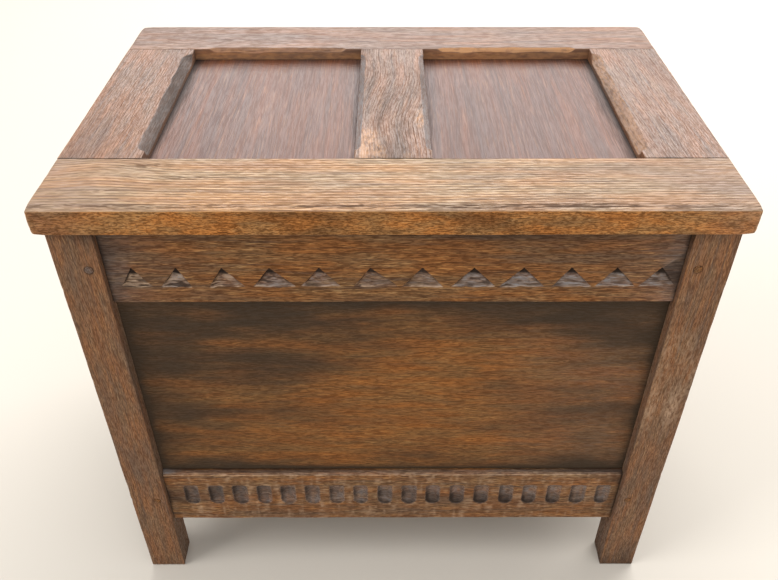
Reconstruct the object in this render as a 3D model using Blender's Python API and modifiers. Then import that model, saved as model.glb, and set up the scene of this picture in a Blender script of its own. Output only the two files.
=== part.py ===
"""Oak slipper box: a joined frame-and-panel carcass under a panelled lid on two butt hinges.

Units are metres and +Z is up. The front faces -Y, and the origin is on the floor below the lid's middle.
"""

import math

import bmesh
import bpy
from mathutils import Matrix, Vector

# Overall sizes
LID_WIDTH = 0.560
LID_DEPTH = 0.381
LID_THICKNESS = 0.022
LID_OVERHANG = 0.007
CARCASS_HEIGHT = 0.460
FLOOR_CLEARANCE = 0.080

# Gap kept between pieces that seat on each other
FIT = 0.0003

# Corner posts
POST_WIDTH = 0.037
POST_DEPTH = 0.030
POST_EASE = 0.0015

# Rails and panels of the four walls
RAIL_THICKNESS = 0.018
RAIL_SETBACK = 0.006
BACK_RAIL_SETBACK = 0.0
TOP_RAIL_HEIGHT = 0.077
BOTTOM_RAIL_HEIGHT = 0.077
SILL_CHAMFER = 0.004
PANEL_THICKNESS = 0.006
GROOVE_DEPTH = 0.008

# Mortise and tenon joints
TENON_THICKNESS = 0.007
TENON_SHOULDER = 0.010
SIDE_TENON_LENGTH = 0.018
MORTISE_WALL = 0.0025
PEG_DIAMETER = 0.007
PEG_PROUD = 0.0005
PEG_FROM_JOINT = 0.010
PEG_END_WALL = 0.005

# Chip carving on the front top rail
CHIP_WIDTH = 0.035
CHIP_HEIGHT = 0.020
CHIP_DEPTH = 0.005
CHIP_SPACE = 0.0044
CHIP_RISE = 0.016

# Gouge flutes on the front bottom rail
FLUTE_WIDTH = 0.0155
FLUTE_HEIGHT = 0.0306
FLUTE_DEPTH = 0.003
FLUTE_SPACE = 0.0098
FLUTE_RISE = 0.0246
FLUTE_END_MARGIN = 0.012

# Bottom of the box
CLEAT_SECTION = 0.016
BOTTOM_THICKNESS = 0.008

# Lid frame and panels
LID_FRONT_RAIL = 0.081
LID_BACK_RAIL = 0.065
LID_STILE = 0.070
LID_MUNTIN = 0.066
LID_TENON_LENGTH = 0.022
LID_PANEL_THICKNESS = 0.005
LID_PANEL_LIP = 0.0047
LID_EASE = 0.0025
STILE_CHAMFER = 0.008
MUNTIN_CHAMFER = 0.0055
BACK_RAIL_CHAMFER = 0.004
CHAMFER_STOP = 0.011
CHAMFER_RUNOUT = 0.012

# Butt hinges
HINGE_INSET = 0.110
HINGE_LENGTH = 0.050
LEAF_WIDTH = 0.022
LEAF_THICKNESS = 0.002
KNUCKLE_RADIUS = 0.003
KNUCKLES = 5
PIN_RADIUS = 0.0015

# Countersunk slotted screws
SCREW_LENGTH = 0.012
SCREW_RADIUS = 0.0015
SCREW_HEAD_RADIUS = 0.003
SCREW_HEAD_HEIGHT = 0.0014
SCREW_SLOT_WIDTH = 0.0008
SCREW_SLOT_DEPTH = 0.0008
SCREW_SPACING = 0.016
SCREW_ROW = 0.013
SCREW_STAGGER = 0.003

# Facets on turned shapes and on rounded arrises, and the angle from which an arris is sharp
ROUND_STEPS = 16
EASE_SEGMENTS = 2
SHARP_ANGLE = math.radians(40)
WELD_DISTANCE = 0.00001

# How far a cutter stands clear of the faces that it runs out through
CUTTER_SPARE = 0.010

# Sizes that follow from those above
BASE_WIDTH = LID_WIDTH - 2 * LID_OVERHANG
BASE_DEPTH = LID_DEPTH - 2 * LID_OVERHANG
FRONT_SPAN = BASE_WIDTH - 2 * POST_WIDTH
SIDE_SPAN = BASE_DEPTH - 2 * POST_DEPTH
TOP_RAIL_Z = CARCASS_HEIGHT - TOP_RAIL_HEIGHT / 2
BOTTOM_RAIL_Z = FLOOR_CLEARANCE + BOTTOM_RAIL_HEIGHT / 2
PANEL_LOW = FLOOR_CLEARANCE + BOTTOM_RAIL_HEIGHT
PANEL_HIGH = CARCASS_HEIGHT - TOP_RAIL_HEIGHT
TENON_INNER_FACE = RAIL_SETBACK + (RAIL_THICKNESS + TENON_THICKNESS) / 2
FRONT_TENON_LENGTH = POST_WIDTH - TENON_INNER_FACE - MORTISE_WALL
PEG_LENGTH = POST_DEPTH - PEG_END_WALL
LID_UNDERSIDE = CARCASS_HEIGHT + FIT
LID_TOP = LID_UNDERSIDE + LID_THICKNESS
LEAF_OFFSET = KNUCKLE_RADIUS - LEAF_THICKNESS
HINGE_AXIS = Vector((0.0, BASE_DEPTH / 2 + LEAF_OFFSET, LID_UNDERSIDE - LEAF_OFFSET))

# Finishes: base colour, roughness and metallic value
CARCASS_OAK = ((0.130, 0.062, 0.028), 0.42, 0.0)
PANEL_OAK = ((0.096, 0.042, 0.018), 0.40, 0.0)
LID_OAK = ((0.205, 0.110, 0.054), 0.38, 0.0)
LID_PANEL_OAK = ((0.125, 0.055, 0.036), 0.34, 0.0)
INNER_WOOD = ((0.300, 0.190, 0.105), 0.65, 0.0)
HINGE_BRASS = ((0.420, 0.300, 0.120), 0.40, 1.0)

FACE_OF_AXIS = (("-X", "+X"), ("-Y", "+Y"), ("-Z", "+Z"))


def clear_scene():
    """Remove whatever the file opened with."""
    for old in list(bpy.data.objects):
        bpy.data.objects.remove(old, do_unlink=True)


def new_collection(name):
    """Collection linked to the scene."""
    collection = bpy.data.collections.new(name)
    bpy.context.scene.collection.children.link(collection)
    return collection


clear_scene()
PARTS = new_collection("slipper_box")
CUTTERS = new_collection("slipper_box_cutters")


# Placing, finishing and cutting


def new_empty(name, location, turn=(0.0, 0.0, 0.0), parent=None):
    """Empty that other objects are placed from."""
    empty = bpy.data.objects.new(name, None)
    empty.location = location
    empty.rotation_euler = turn
    empty.parent = parent
    PARTS.objects.link(empty)
    return empty


def place(obj, location, parent=None, turn=(0.0, 0.0, 0.0)):
    """Put an object at a location and turn in its parent's frame."""
    obj.parent = parent
    obj.location = location
    obj.rotation_euler = turn
    return obj


def as_part(obj, finish):
    """Make an object a piece of the box, with its own material."""
    colour, roughness, metallic = finish
    material = bpy.data.materials.new(obj.name + "_finish")
    material.use_nodes = True
    shader = material.node_tree.nodes["Principled BSDF"]
    shader.inputs["Base Color"].default_value = (*colour, 1.0)
    shader.inputs["Roughness"].default_value = roughness
    shader.inputs["Metallic"].default_value = metallic
    obj.data.materials.append(material)
    PARTS.objects.link(obj)
    return obj


def as_cutter(obj):
    """Make an object a shape that is only cut from, or added to, other pieces."""
    obj.hide_render = True
    obj.display_type = "WIRE"
    CUTTERS.objects.link(obj)
    return obj


def combine(target, shape, operation="DIFFERENCE"):
    """Cut a shape from a piece, or join it on with UNION."""
    boolean = target.modifiers.new(shape.name, "BOOLEAN")
    boolean.operation = operation
    boolean.solver = "EXACT"
    boolean.object = shape


# Basic shapes


def face_name(face):
    """Name of the side of a box that a face lies on, such as +Z."""
    axis = max(range(3), key=lambda i: abs(face.normal[i]))
    return FACE_OF_AXIS[axis][face.normal[axis] > 0]


def block(name, size, arrises=(), ease=0.0, segments=EASE_SEGMENTS):
    """Box centred on its origin, with the arrises between the named pairs of sides eased."""
    mesh = bpy.data.meshes.new(name)
    bm = bmesh.new()
    bmesh.ops.create_cube(bm, size=1.0)
    bmesh.ops.scale(bm, vec=size, verts=bm.verts)
    wanted = {frozenset(pair) for pair in arrises}
    edges = [edge for edge in bm.edges if frozenset(map(face_name, edge.link_faces)) in wanted]
    if edges:
        bmesh.ops.bevel(bm, geom=edges, offset=ease, segments=segments, profile=0.5, affect="EDGES")
    bm.to_mesh(mesh)
    bm.free()
    return bpy.data.objects.new(name, mesh)


def grown(size, gap=FIT):
    """Size of the pocket that takes a block of the given size."""
    return tuple(side + 2 * gap for side in size)


def rod(name, radius, length):
    """Round rod along Z, centred on its origin, with flats facing X and Y."""
    mesh = bpy.data.meshes.new(name)
    bm = bmesh.new()
    bmesh.ops.create_cone(
        bm, cap_ends=True, segments=ROUND_STEPS, radius1=radius, radius2=radius, depth=length)
    half_step = Matrix.Rotation(math.pi / ROUND_STEPS, 3, "Z")
    bmesh.ops.rotate(bm, matrix=half_step, verts=bm.verts)
    bm.to_mesh(mesh)
    bm.free()
    shade_round(mesh)
    return bpy.data.objects.new(name, mesh)


def turned(name, profile):
    """Solid turned about Z from a profile of radii and heights, listed from the top down."""
    mesh = bpy.data.meshes.new(name)
    points = [(radius, 0.0, height) for radius, height in profile]
    mesh.from_pydata(points, [(i, i + 1) for i in range(len(points) - 1)], [])
    obj = bpy.data.objects.new(name, mesh)
    turn = obj.modifiers.new("turn", "SCREW")
    turn.axis = "Z"
    turn.steps = ROUND_STEPS
    turn.render_steps = ROUND_STEPS
    turn.use_merge_vertices = True
    turn.merge_threshold = WELD_DISTANCE
    turn.use_smooth_shade = True
    return obj


def shade_round(mesh):
    """Shade curved faces smooth and keep the corners sharp."""
    mesh.shade_smooth()
    mesh.set_sharp_from_angle(angle=SHARP_ANGLE)


def in_row(obj, count, step):
    """Repeat a shape along its own axes, the row centred on where it stands."""
    row = obj.modifiers.new("row", "ARRAY")
    row.count = count
    row.use_relative_offset = False
    row.use_constant_offset = True
    row.constant_offset_displace = step
    return obj


def row_start(count, pitch):
    """Place of the first of a centred row."""
    return -(count - 1) * pitch / 2


# Walls: two rails and a panel between a pair of posts, each in its own frame.
# In that frame X runs along the wall, Y goes inwards from the posts' outer faces and Z is up.


def wall_rail(wall, level, height, middle_z):
    """Rail with a tenon at each end, and the pocket that its tenons need."""
    name = wall["name"] + "_" + level + "_rail"
    centre = (0.0, wall["rail_middle"], middle_z)
    body_size = (wall["span"] - 2 * FIT, RAIL_THICKNESS, height)
    is_sill = wall["name"] == "front" and level == "bottom"
    arrises = [("-Y", "+Z")] if is_sill else []
    rail = as_part(block(name, body_size, arrises, SILL_CHAMFER, segments=1), CARCASS_OAK)
    place(rail, centre, wall["frame"])
    tenon_size = (wall["span"] + 2 * wall["tenon"], TENON_THICKNESS, height - 2 * TENON_SHOULDER)
    tenons = place(as_cutter(block(name + "_tenons", tenon_size)), centre, wall["frame"])
    combine(rail, tenons, "UNION")
    mortises = as_cutter(block(name + "_mortises", grown(tenon_size)))
    wall["pockets"].append(place(mortises, centre, wall["frame"]))
    return rail


def wall_panel(wall):
    """Flat panel held in grooves, and the pocket that cuts those grooves."""
    name = wall["name"] + "_panel"
    reach = 2 * (GROOVE_DEPTH - FIT)
    size = (wall["span"] + reach, PANEL_THICKNESS, PANEL_HIGH - PANEL_LOW + reach)
    centre = (0.0, wall["rail_middle"], (PANEL_LOW + PANEL_HIGH) / 2)
    place(as_part(block(name, size), PANEL_OAK), centre, wall["frame"])
    grooves = place(as_cutter(block(name + "_grooves", grown(size))), centre, wall["frame"])
    wall["pockets"].append(grooves)
    return grooves


def wall_pegs(wall):
    """Round pegs driven through the posts and the tenons, two to each end of the wall."""
    length = PEG_LENGTH + PEG_PROUD
    lying = (math.pi / 2, 0.0, 0.0)
    for side, corner in wall["ends"]:
        for level, rail in wall["rails"].items():
            name = wall["name"] + "_" + corner + "_" + level + "_peg"
            across = side * (wall["span"] / 2 + PEG_FROM_JOINT)
            centre = (across, (PEG_LENGTH - PEG_PROUD) / 2, rail.location.z)
            peg = as_part(rod(name, PEG_DIAMETER / 2, length), CARCASS_OAK)
            place(peg, centre, wall["frame"], lying)
            hole = as_cutter(rod(name + "_hole", PEG_DIAMETER / 2 + FIT, length + 2 * FIT))
            place(hole, centre, wall["frame"], lying)
            combine(rail, hole)
            wall["holes"][corner].append(hole)


def build_wall(name, location, turn, span, setback, tenon, ends):
    """Rails, panel and joints of one wall."""
    frame = new_empty(name + "_wall", location, (0.0, 0.0, turn))
    wall = {"name": name, "frame": frame, "span": span, "tenon": tenon, "ends": ends}
    wall["rail_middle"] = setback + RAIL_THICKNESS / 2
    wall["pockets"] = []
    wall["holes"] = {corner: [] for side, corner in ends}
    wall["rails"] = {
        "top": wall_rail(wall, "top", TOP_RAIL_HEIGHT, TOP_RAIL_Z),
        "bottom": wall_rail(wall, "bottom", BOTTOM_RAIL_HEIGHT, BOTTOM_RAIL_Z),
    }
    grooves = wall_panel(wall)
    for rail in wall["rails"].values():
        combine(rail, grooves)
    return wall


def build_walls():
    """The four walls, with pegs where the joints show on the front and back faces."""
    half_width, half_depth = BASE_WIDTH / 2, BASE_DEPTH / 2
    quarter = math.pi / 2
    left_right = [(-1, "left"), (1, "right")]
    right_left = [(-1, "right"), (1, "left")]
    walls = {
        "front": build_wall("front", (0.0, -half_depth, 0.0), 0.0, FRONT_SPAN, RAIL_SETBACK,
                            FRONT_TENON_LENGTH, left_right),
        "back": build_wall("back", (0.0, half_depth, 0.0), 2 * quarter, FRONT_SPAN, BACK_RAIL_SETBACK,
                           FRONT_TENON_LENGTH, right_left),
        "left": build_wall("left", (-half_width, 0.0, 0.0), -quarter, SIDE_SPAN, RAIL_SETBACK,
                           SIDE_TENON_LENGTH, []),
        "right": build_wall("right", (half_width, 0.0, 0.0), quarter, SIDE_SPAN, RAIL_SETBACK,
                            SIDE_TENON_LENGTH, []),
    }
    for name in ("front", "back"):
        wall_pegs(walls[name])
    return walls


def build_posts(walls):
    """Corner posts that run down to the feet, mortised and grooved for the walls that meet there."""
    upright = [("-X", "-Y"), ("-X", "+Y"), ("+X", "-Y"), ("+X", "+Y")]
    foot = [(side, "-Z") for side in ("-X", "+X", "-Y", "+Y")]
    size = (POST_WIDTH, POST_DEPTH, CARCASS_HEIGHT)
    for front_back, y_side in (("front", -1), ("back", 1)):
        for left_right, x_side in (("left", -1), ("right", 1)):
            name = front_back + "_" + left_right + "_post"
            post = as_part(block(name, size, upright + foot, POST_EASE), CARCASS_OAK)
            across = x_side * (BASE_WIDTH - POST_WIDTH) / 2
            along = y_side * (BASE_DEPTH - POST_DEPTH) / 2
            place(post, (across, along, CARCASS_HEIGHT / 2))
            pockets = walls[front_back]["pockets"] + walls[left_right]["pockets"]
            for pocket in pockets + walls[front_back]["holes"][left_right]:
                combine(post, pocket)


# Carving on the front rails


def carve_chips(wall):
    """Row of three-cornered chips whose floors slope in from the base line to the point."""
    pitch = CHIP_WIDTH + CHIP_SPACE
    count = int((wall["span"] - 2 * FIT - CHIP_WIDTH) / pitch) + 1
    lean = math.asin(CHIP_DEPTH / CHIP_HEIGHT)
    reach = CHIP_DEPTH + CUTTER_SPARE
    mesh = bpy.data.meshes.new("chip")
    bm = bmesh.new()
    bmesh.ops.create_cone(bm, cap_ends=True, segments=3, radius1=1.0, radius2=1.0, depth=1.0)
    bmesh.ops.translate(bm, vec=(0.0, 0.5, 0.5), verts=bm.verts)
    unit_width, unit_height = math.sqrt(3.0), 1.5
    bmesh.ops.scale(bm, vec=(CHIP_WIDTH / unit_width, CHIP_HEIGHT / unit_height, reach), verts=bm.verts)
    bm.to_mesh(mesh)
    bm.free()
    chips = as_cutter(bpy.data.objects.new("chips", mesh))
    base_line = (row_start(count, pitch), RAIL_SETBACK, PANEL_HIGH + CHIP_RISE)
    place(chips, base_line, wall["frame"], (math.pi / 2 - lean, 0.0, 0.0))
    combine(wall["rails"]["top"], in_row(chips, count, (pitch, 0.0, 0.0)))


def carve_flutes(wall):
    """Row of gouge flutes, square at the top and round at the foot."""
    pitch = FLUTE_WIDTH + FLUTE_SPACE
    room = wall["span"] - 2 * FIT - 2 * FLUTE_END_MARGIN - FLUTE_WIDTH
    count = int(room / pitch) + 1
    sweep = (FLUTE_WIDTH ** 2 / 4 + FLUTE_DEPTH ** 2) / (2 * FLUTE_DEPTH)
    straight = FLUTE_HEIGHT - FLUTE_WIDTH / 2
    quarter_steps = ROUND_STEPS // 4
    profile = [(0.0, straight), (sweep, straight)]
    for step in range(quarter_steps + 1):
        angle = step * math.pi / 2 / quarter_steps
        profile.append((sweep * math.cos(angle), -sweep * math.sin(angle)))
    profile[-1] = (0.0, -sweep)
    flutes = as_cutter(turned("flutes", profile))
    out = RAIL_SETBACK - sweep + FLUTE_DEPTH
    foot = FLOOR_CLEARANCE + FLUTE_RISE + FLUTE_WIDTH / 2
    place(flutes, (row_start(count, pitch), out, foot), wall["frame"])
    combine(wall["rails"]["bottom"], in_row(flutes, count, (pitch, 0.0, 0.0)))


# Bottom of the box


def build_bottom(walls):
    """Bottom board notched round the posts, on cleats fixed inside the bottom rails."""
    cleat_z = FLOOR_CLEARANCE + CLEAT_SECTION / 2
    inner = {name: wall["rail_middle"] + RAIL_THICKNESS / 2 for name, wall in walls.items()}
    for name in ("front", "back"):
        size = (walls[name]["span"] - 2 * FIT, CLEAT_SECTION, CLEAT_SECTION)
        cleat = as_part(block(name + "_cleat", size), INNER_WOOD)
        place(cleat, (0.0, inner[name] + FIT + CLEAT_SECTION / 2, cleat_z), walls[name]["frame"])
    front_edge = -BASE_DEPTH / 2 + inner["front"]
    back_edge = BASE_DEPTH / 2 - inner["back"]
    taken = CLEAT_SECTION + 2 * FIT
    for name, turn in (("left", 1), ("right", -1)):
        size = (back_edge - front_edge - 2 * taken, CLEAT_SECTION, CLEAT_SECTION)
        along = turn * -(front_edge + back_edge) / 2
        cleat = as_part(block(name + "_cleat", size), INNER_WOOD)
        place(cleat, (along, inner[name] + FIT + CLEAT_SECTION / 2, cleat_z), walls[name]["frame"])
    board_z = FLOOR_CLEARANCE + CLEAT_SECTION + FIT + BOTTOM_THICKNESS / 2
    board_width = BASE_WIDTH - inner["left"] - inner["right"] - 2 * FIT
    board_size = (board_width, back_edge - front_edge - 2 * FIT, BOTTOM_THICKNESS)
    board = as_part(block("bottom_board", board_size), INNER_WOOD)
    place(board, (0.0, (front_edge + back_edge) / 2, board_z))
    notch_size = (POST_WIDTH + 2 * FIT, POST_DEPTH + 2 * FIT, BOTTOM_THICKNESS + 2 * CUTTER_SPARE)
    notch = as_cutter(block("post_notches", notch_size))
    pitch_x, pitch_y = BASE_WIDTH - POST_WIDTH, BASE_DEPTH - POST_DEPTH
    place(notch, (-pitch_x / 2, -pitch_y / 2, board_z))
    in_row(notch, 2, (pitch_x, 0.0, 0.0))
    combine(board, in_row(notch, 2, (0.0, pitch_y, 0.0)))


# Lid: everything hangs from an empty on the hinge axis


def lid_at(x, y, z):
    """Place in the frame of the hinge axis, from a place in the room."""
    return Vector((x, y, z)) - HINGE_AXIS


def stopped_chamfer(piece, name, leg, middle, length, turn):
    """Flat chamfer along the inner arris of a lid timber, scooped out at both ends."""
    depth = leg / math.sqrt(2)
    height = 2 * CHAMFER_RUNOUT
    size = (length, leg + 2 * CUTTER_SPARE, height)
    ends = [("-X", "-Z"), ("+X", "-Z")]
    bar = as_cutter(block(name, size, ends, CHAMFER_RUNOUT, ROUND_STEPS // 4))
    lean = Matrix.Rotation(turn, 3, "Z") @ Matrix.Rotation(math.radians(-45), 3, "X")
    outwards = lean @ Vector((0.0, 0.0, 1.0))
    place(bar, middle + outwards * (height / 2 - depth), piece.parent, lean.to_euler())
    combine(piece, bar)


def build_lid(hinge_axis):
    """Framed lid: rails across the full width, stiles and muntin between them, two sunk panels."""
    front, back = -LID_DEPTH / 2, LID_DEPTH / 2
    left, right = -LID_WIDTH / 2, LID_WIDTH / 2
    middle_z = (LID_UNDERSIDE + LID_TOP) / 2
    front_joint, back_joint = front + LID_FRONT_RAIL, back - LID_BACK_RAIL
    joint_middle = (front_joint + back_joint) / 2

    ends = [("-X", "+Z"), ("+X", "+Z")]
    front_arrises = ends + [("-Y", "+Z"), ("-X", "-Y"), ("+X", "-Y")]
    back_arrises = ends + [("+Y", "+Z"), ("-X", "+Y"), ("+X", "+Y")]
    front_size = (LID_WIDTH, LID_FRONT_RAIL, LID_THICKNESS)
    back_size = (LID_WIDTH, LID_BACK_RAIL, LID_THICKNESS)
    front_rail = as_part(block("lid_front_rail", front_size, front_arrises, LID_EASE), LID_OAK)
    place(front_rail, lid_at(0.0, front + LID_FRONT_RAIL / 2, middle_z), hinge_axis)
    back_rail = as_part(block("lid_back_rail", back_size, back_arrises, LID_EASE), LID_OAK)
    place(back_rail, lid_at(0.0, back - LID_BACK_RAIL / 2, middle_z), hinge_axis)

    uprights = {}
    legs = {}
    layout = (
        ("lid_left_stile", left + LID_STILE / 2, LID_STILE, STILE_CHAMFER, [("-X", "+Z")]),
        ("lid_muntin", 0.0, LID_MUNTIN, MUNTIN_CHAMFER, []),
        ("lid_right_stile", right - LID_STILE / 2, LID_STILE, STILE_CHAMFER, [("+X", "+Z")]),
    )
    for name, across, width, chamfer, arrises in layout:
        centre = lid_at(across, joint_middle, middle_z)
        size = (width, back_joint - front_joint - 2 * FIT, LID_THICKNESS)
        piece = place(as_part(block(name, size, arrises, LID_EASE), LID_OAK), centre, hinge_axis)
        tenon_length = back_joint - front_joint + 2 * LID_TENON_LENGTH
        tenon_size = (width - 2 * TENON_SHOULDER, tenon_length, TENON_THICKNESS)
        tenons = place(as_cutter(block(name + "_tenons", tenon_size)), centre, hinge_axis)
        combine(piece, tenons, "UNION")
        mortises = place(as_cutter(block(name + "_mortises", grown(tenon_size))), centre, hinge_axis)
        combine(front_rail, mortises)
        combine(back_rail, mortises)
        uprights[name] = piece
        legs[piece] = chamfer

    muntin = uprights["lid_muntin"]
    left_stile, right_stile = uprights["lid_left_stile"], uprights["lid_right_stile"]
    openings = (
        ("left", left_stile, left + LID_STILE, muntin, -LID_MUNTIN / 2),
        ("right", muntin, LID_MUNTIN / 2, right_stile, right - LID_STILE),
    )
    reach = GROOVE_DEPTH - FIT
    panel_z = LID_UNDERSIDE + LID_PANEL_LIP + FIT + LID_PANEL_THICKNESS / 2
    for side, low_piece, low, high_piece, high in openings:
        name = "lid_" + side + "_panel"
        size = (high - low + 2 * reach, back_joint - front_joint + 2 * reach, LID_PANEL_THICKNESS)
        centre = lid_at((low + high) / 2, joint_middle, panel_z)
        place(as_part(block(name, size), LID_PANEL_OAK), centre, hinge_axis)
        grooves = place(as_cutter(block(name + "_grooves", grown(size))), centre, hinge_axis)
        for piece in (front_rail, back_rail, low_piece, high_piece):
            combine(piece, grooves)

        back_arris = lid_at((low + high) / 2, back_joint, LID_TOP)
        low_arris = lid_at(low, joint_middle, LID_TOP)
        high_arris = lid_at(high, joint_middle, LID_TOP)
        back_length = high - low - 2 * CHAMFER_STOP
        side_length = back_joint - front_joint - 2 * CHAMFER_STOP
        low_leg, high_leg = legs[low_piece], legs[high_piece]
        stopped_chamfer(back_rail, side + "_back_chamfer", BACK_RAIL_CHAMFER, back_arris, back_length, math.pi)
        stopped_chamfer(low_piece, side + "_low_chamfer", low_leg, low_arris, side_length, -math.pi / 2)
        stopped_chamfer(high_piece, side + "_high_chamfer", high_leg, high_arris, side_length, math.pi / 2)
    return back_rail


# Hinges


def screw_profile(gap=0.0, lift=0.0):
    """Countersunk screw from the top of its head to its point, or the hole for it when grown."""
    head = SCREW_HEAD_RADIUS + gap
    shank = SCREW_RADIUS + gap
    profile = [(0.0, lift), (head, lift)]
    if lift:
        profile.append((head, 0.0))
    point = SCREW_LENGTH - 2 * SCREW_RADIUS
    return profile + [(shank, -SCREW_HEAD_HEIGHT), (shank, -point), (0.0, -SCREW_LENGTH - gap)]


def build_leaf(side, own, other, frame, timber):
    """Leaf let into a timber, with its knuckles, screw holes and screws, in the frame of the pin."""
    name = side + "_leaf"
    step = HINGE_LENGTH / KNUCKLES
    lying = (0.0, math.pi / 2, 0.0)
    plate_size = (HINGE_LENGTH, LEAF_THICKNESS, LEAF_WIDTH)
    leaf = as_part(block(name, plate_size), HINGE_BRASS)
    place(leaf, (0.0, -KNUCKLE_RADIUS + LEAF_THICKNESS / 2, -LEAF_WIDTH / 2), frame)

    def knuckle_row(label, radius, length, count):
        row = as_cutter(rod(name + label, radius, length))
        place(row, (row_start(count, 2 * step), 0.0, 0.0), frame, lying)
        return in_row(row, count, (0.0, 0.0, 2 * step))

    combine(leaf, knuckle_row("_knuckles", KNUCKLE_RADIUS, step - 2 * FIT, own), "UNION")
    combine(leaf, knuckle_row("_gaps", KNUCKLE_RADIUS + FIT, step, other))
    bore = as_cutter(rod(name + "_bore", PIN_RADIUS + FIT, HINGE_LENGTH + 2 * CUTTER_SPARE))
    combine(leaf, place(bore, (0.0, 0.0, 0.0), frame, lying))

    room = KNUCKLE_RADIUS + FIT
    gain_size = (HINGE_LENGTH + 2 * FIT, 2 * room, LEAF_WIDTH + FIT + room)
    gain = as_cutter(block(name + "_gain", gain_size))
    combine(timber, place(gain, (0.0, 0.0, (room - LEAF_WIDTH - FIT) / 2), frame))

    inwards = (-math.pi / 2, 0.0, 0.0)
    slot_size = (2 * SCREW_HEAD_RADIUS + CUTTER_SPARE, SCREW_SLOT_WIDTH, 2 * SCREW_SLOT_DEPTH)
    for number, across in enumerate((-SCREW_SPACING, 0.0, SCREW_SPACING), start=1):
        row = SCREW_ROW if across else SCREW_ROW + SCREW_STAGGER
        at = (across, -LEAF_OFFSET, -row)
        label = side + "_screw_" + str(number)
        screw = place(as_part(turned(label, screw_profile()), HINGE_BRASS), at, frame, inwards)
        slot = as_cutter(block(label + "_slot", slot_size))
        combine(screw, place(slot, at, frame, inwards))
        hole = as_cutter(turned(label + "_hole", screw_profile(FIT, LEAF_THICKNESS)))
        place(hole, at, frame, inwards)
        combine(leaf, hole)
        combine(timber, hole)


def build_hinges(hinge_axis, carcass_rail, lid_rail):
    """Two butt hinges: one leaf flush in the back of the top rail, the other flush under the lid."""
    lid_knuckles = KNUCKLES // 2
    carcass_knuckles = KNUCKLES - lid_knuckles
    for side, sign in (("left", -1), ("right", 1)):
        hinge = side + "_hinge"
        across = sign * (BASE_WIDTH / 2 - HINGE_INSET)
        fixed = new_empty(hinge + "_fixed_frame", HINGE_AXIS + Vector((across, 0.0, 0.0)))
        moving = new_empty(hinge + "_lid_frame", (across, 0.0, 0.0), (-math.pi / 2, 0.0, 0.0), hinge_axis)
        build_leaf(hinge + "_carcass", carcass_knuckles, lid_knuckles, fixed, carcass_rail)
        build_leaf(hinge + "_lid", lid_knuckles, carcass_knuckles, moving, lid_rail)
        pin = as_part(rod(hinge + "_pin", PIN_RADIUS, HINGE_LENGTH), HINGE_BRASS)
        place(pin, (0.0, 0.0, 0.0), fixed, (0.0, math.pi / 2, 0.0))


def build_box():
    """The whole box."""
    walls = build_walls()
    build_posts(walls)
    carve_chips(walls["front"])
    carve_flutes(walls["front"])
    build_bottom(walls)
    hinge_axis = new_empty("lid_hinge_axis", HINGE_AXIS)
    lid_back_rail = build_lid(hinge_axis)
    build_hinges(hinge_axis, walls["back"]["rails"]["top"], lid_back_rail)
    bpy.context.view_layer.update()


build_box()
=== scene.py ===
"""Finish of the oak slipper box: worn and carved timbers, aged oak and dull brass round a fixed frame.

Laid out as an add-on: settings, one operator for each group of pieces and for the stage, and a panel.
Lengths are metres, +Z is up and the carved front faces -Y. Colours are linear.
"""

import math
from itertools import product

import bpy
import numpy as np
from bpy.props import FloatProperty, FloatVectorProperty, IntProperty, PointerProperty
from bpy.types import Operator, Panel, PropertyGroup
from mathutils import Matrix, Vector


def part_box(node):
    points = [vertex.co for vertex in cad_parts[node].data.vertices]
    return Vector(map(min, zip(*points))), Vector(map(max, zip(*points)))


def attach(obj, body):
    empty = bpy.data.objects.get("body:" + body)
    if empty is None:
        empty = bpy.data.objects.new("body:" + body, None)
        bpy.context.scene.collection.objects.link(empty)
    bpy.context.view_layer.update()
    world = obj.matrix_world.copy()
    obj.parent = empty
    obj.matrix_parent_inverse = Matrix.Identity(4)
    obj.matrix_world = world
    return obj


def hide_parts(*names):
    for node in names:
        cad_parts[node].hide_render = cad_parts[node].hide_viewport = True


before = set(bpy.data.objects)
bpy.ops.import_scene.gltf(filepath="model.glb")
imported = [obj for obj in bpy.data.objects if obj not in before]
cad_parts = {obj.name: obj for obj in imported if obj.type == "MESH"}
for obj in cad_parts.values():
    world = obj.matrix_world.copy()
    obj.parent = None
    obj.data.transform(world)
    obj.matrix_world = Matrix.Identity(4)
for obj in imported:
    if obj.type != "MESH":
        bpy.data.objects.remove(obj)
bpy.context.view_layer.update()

bl_info = {
    "name": "Slipper Box Finish",
    "version": (1, 0, 0),
    "blender": (4, 5, 0),
    "location": "3D View > Sidebar > Slipper Box",
    "description": "Worn timbers, carving and aged finishes for an oak slipper box",
    "category": "Object",
}

SIDES = ("-X", "+X", "-Y", "+Y", "-Z", "+Z")
FRONT_BACK = ("front", "back")
LEFT_RIGHT = ("left", "right")
LEVELS = ("top", "bottom")

# Width that a sheer wall takes up on a grid, and the closest that two grid lines come otherwise
SLIVER = 0.00002
LINE_GAP = 0.0003
SHARP_ANGLE = math.radians(38)

# Columns of a timber's age: wear with painted light, dirt with painted shade, and dust with painted sheen
WEAR_AND_PAINTED_LIGHT, DIRT_AND_PAINTED_SHADE, DUST_AND_PAINTED_SHEEN = range(3)

# Gap between seated pieces, read from the lid and a post
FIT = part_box("lid_front_rail")[0].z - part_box("front_left_post")[1].z


# Settings


def size(name, description, default):
    """Length that a user may change."""
    return FloatProperty(
        name=name, description=description, default=default, min=0.0, unit="LENGTH", precision=5)


def share(name, description, default):
    """Plain number that a user may change."""
    return FloatProperty(name=name, description=description, default=default, min=0.0, precision=3)


def colour(name, description, default):
    """Linear colour that a user may change."""
    return FloatVectorProperty(
        name=name, description=description, default=default, size=3, subtype="COLOR", min=0.0, max=1.0)


def row(name, description, default, unit="NONE"):
    """Numbers for a row of like shapes, from the left, that a user may change."""
    return FloatVectorProperty(
        name=name, description=description, default=default, size=len(default), unit=unit)


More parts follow.
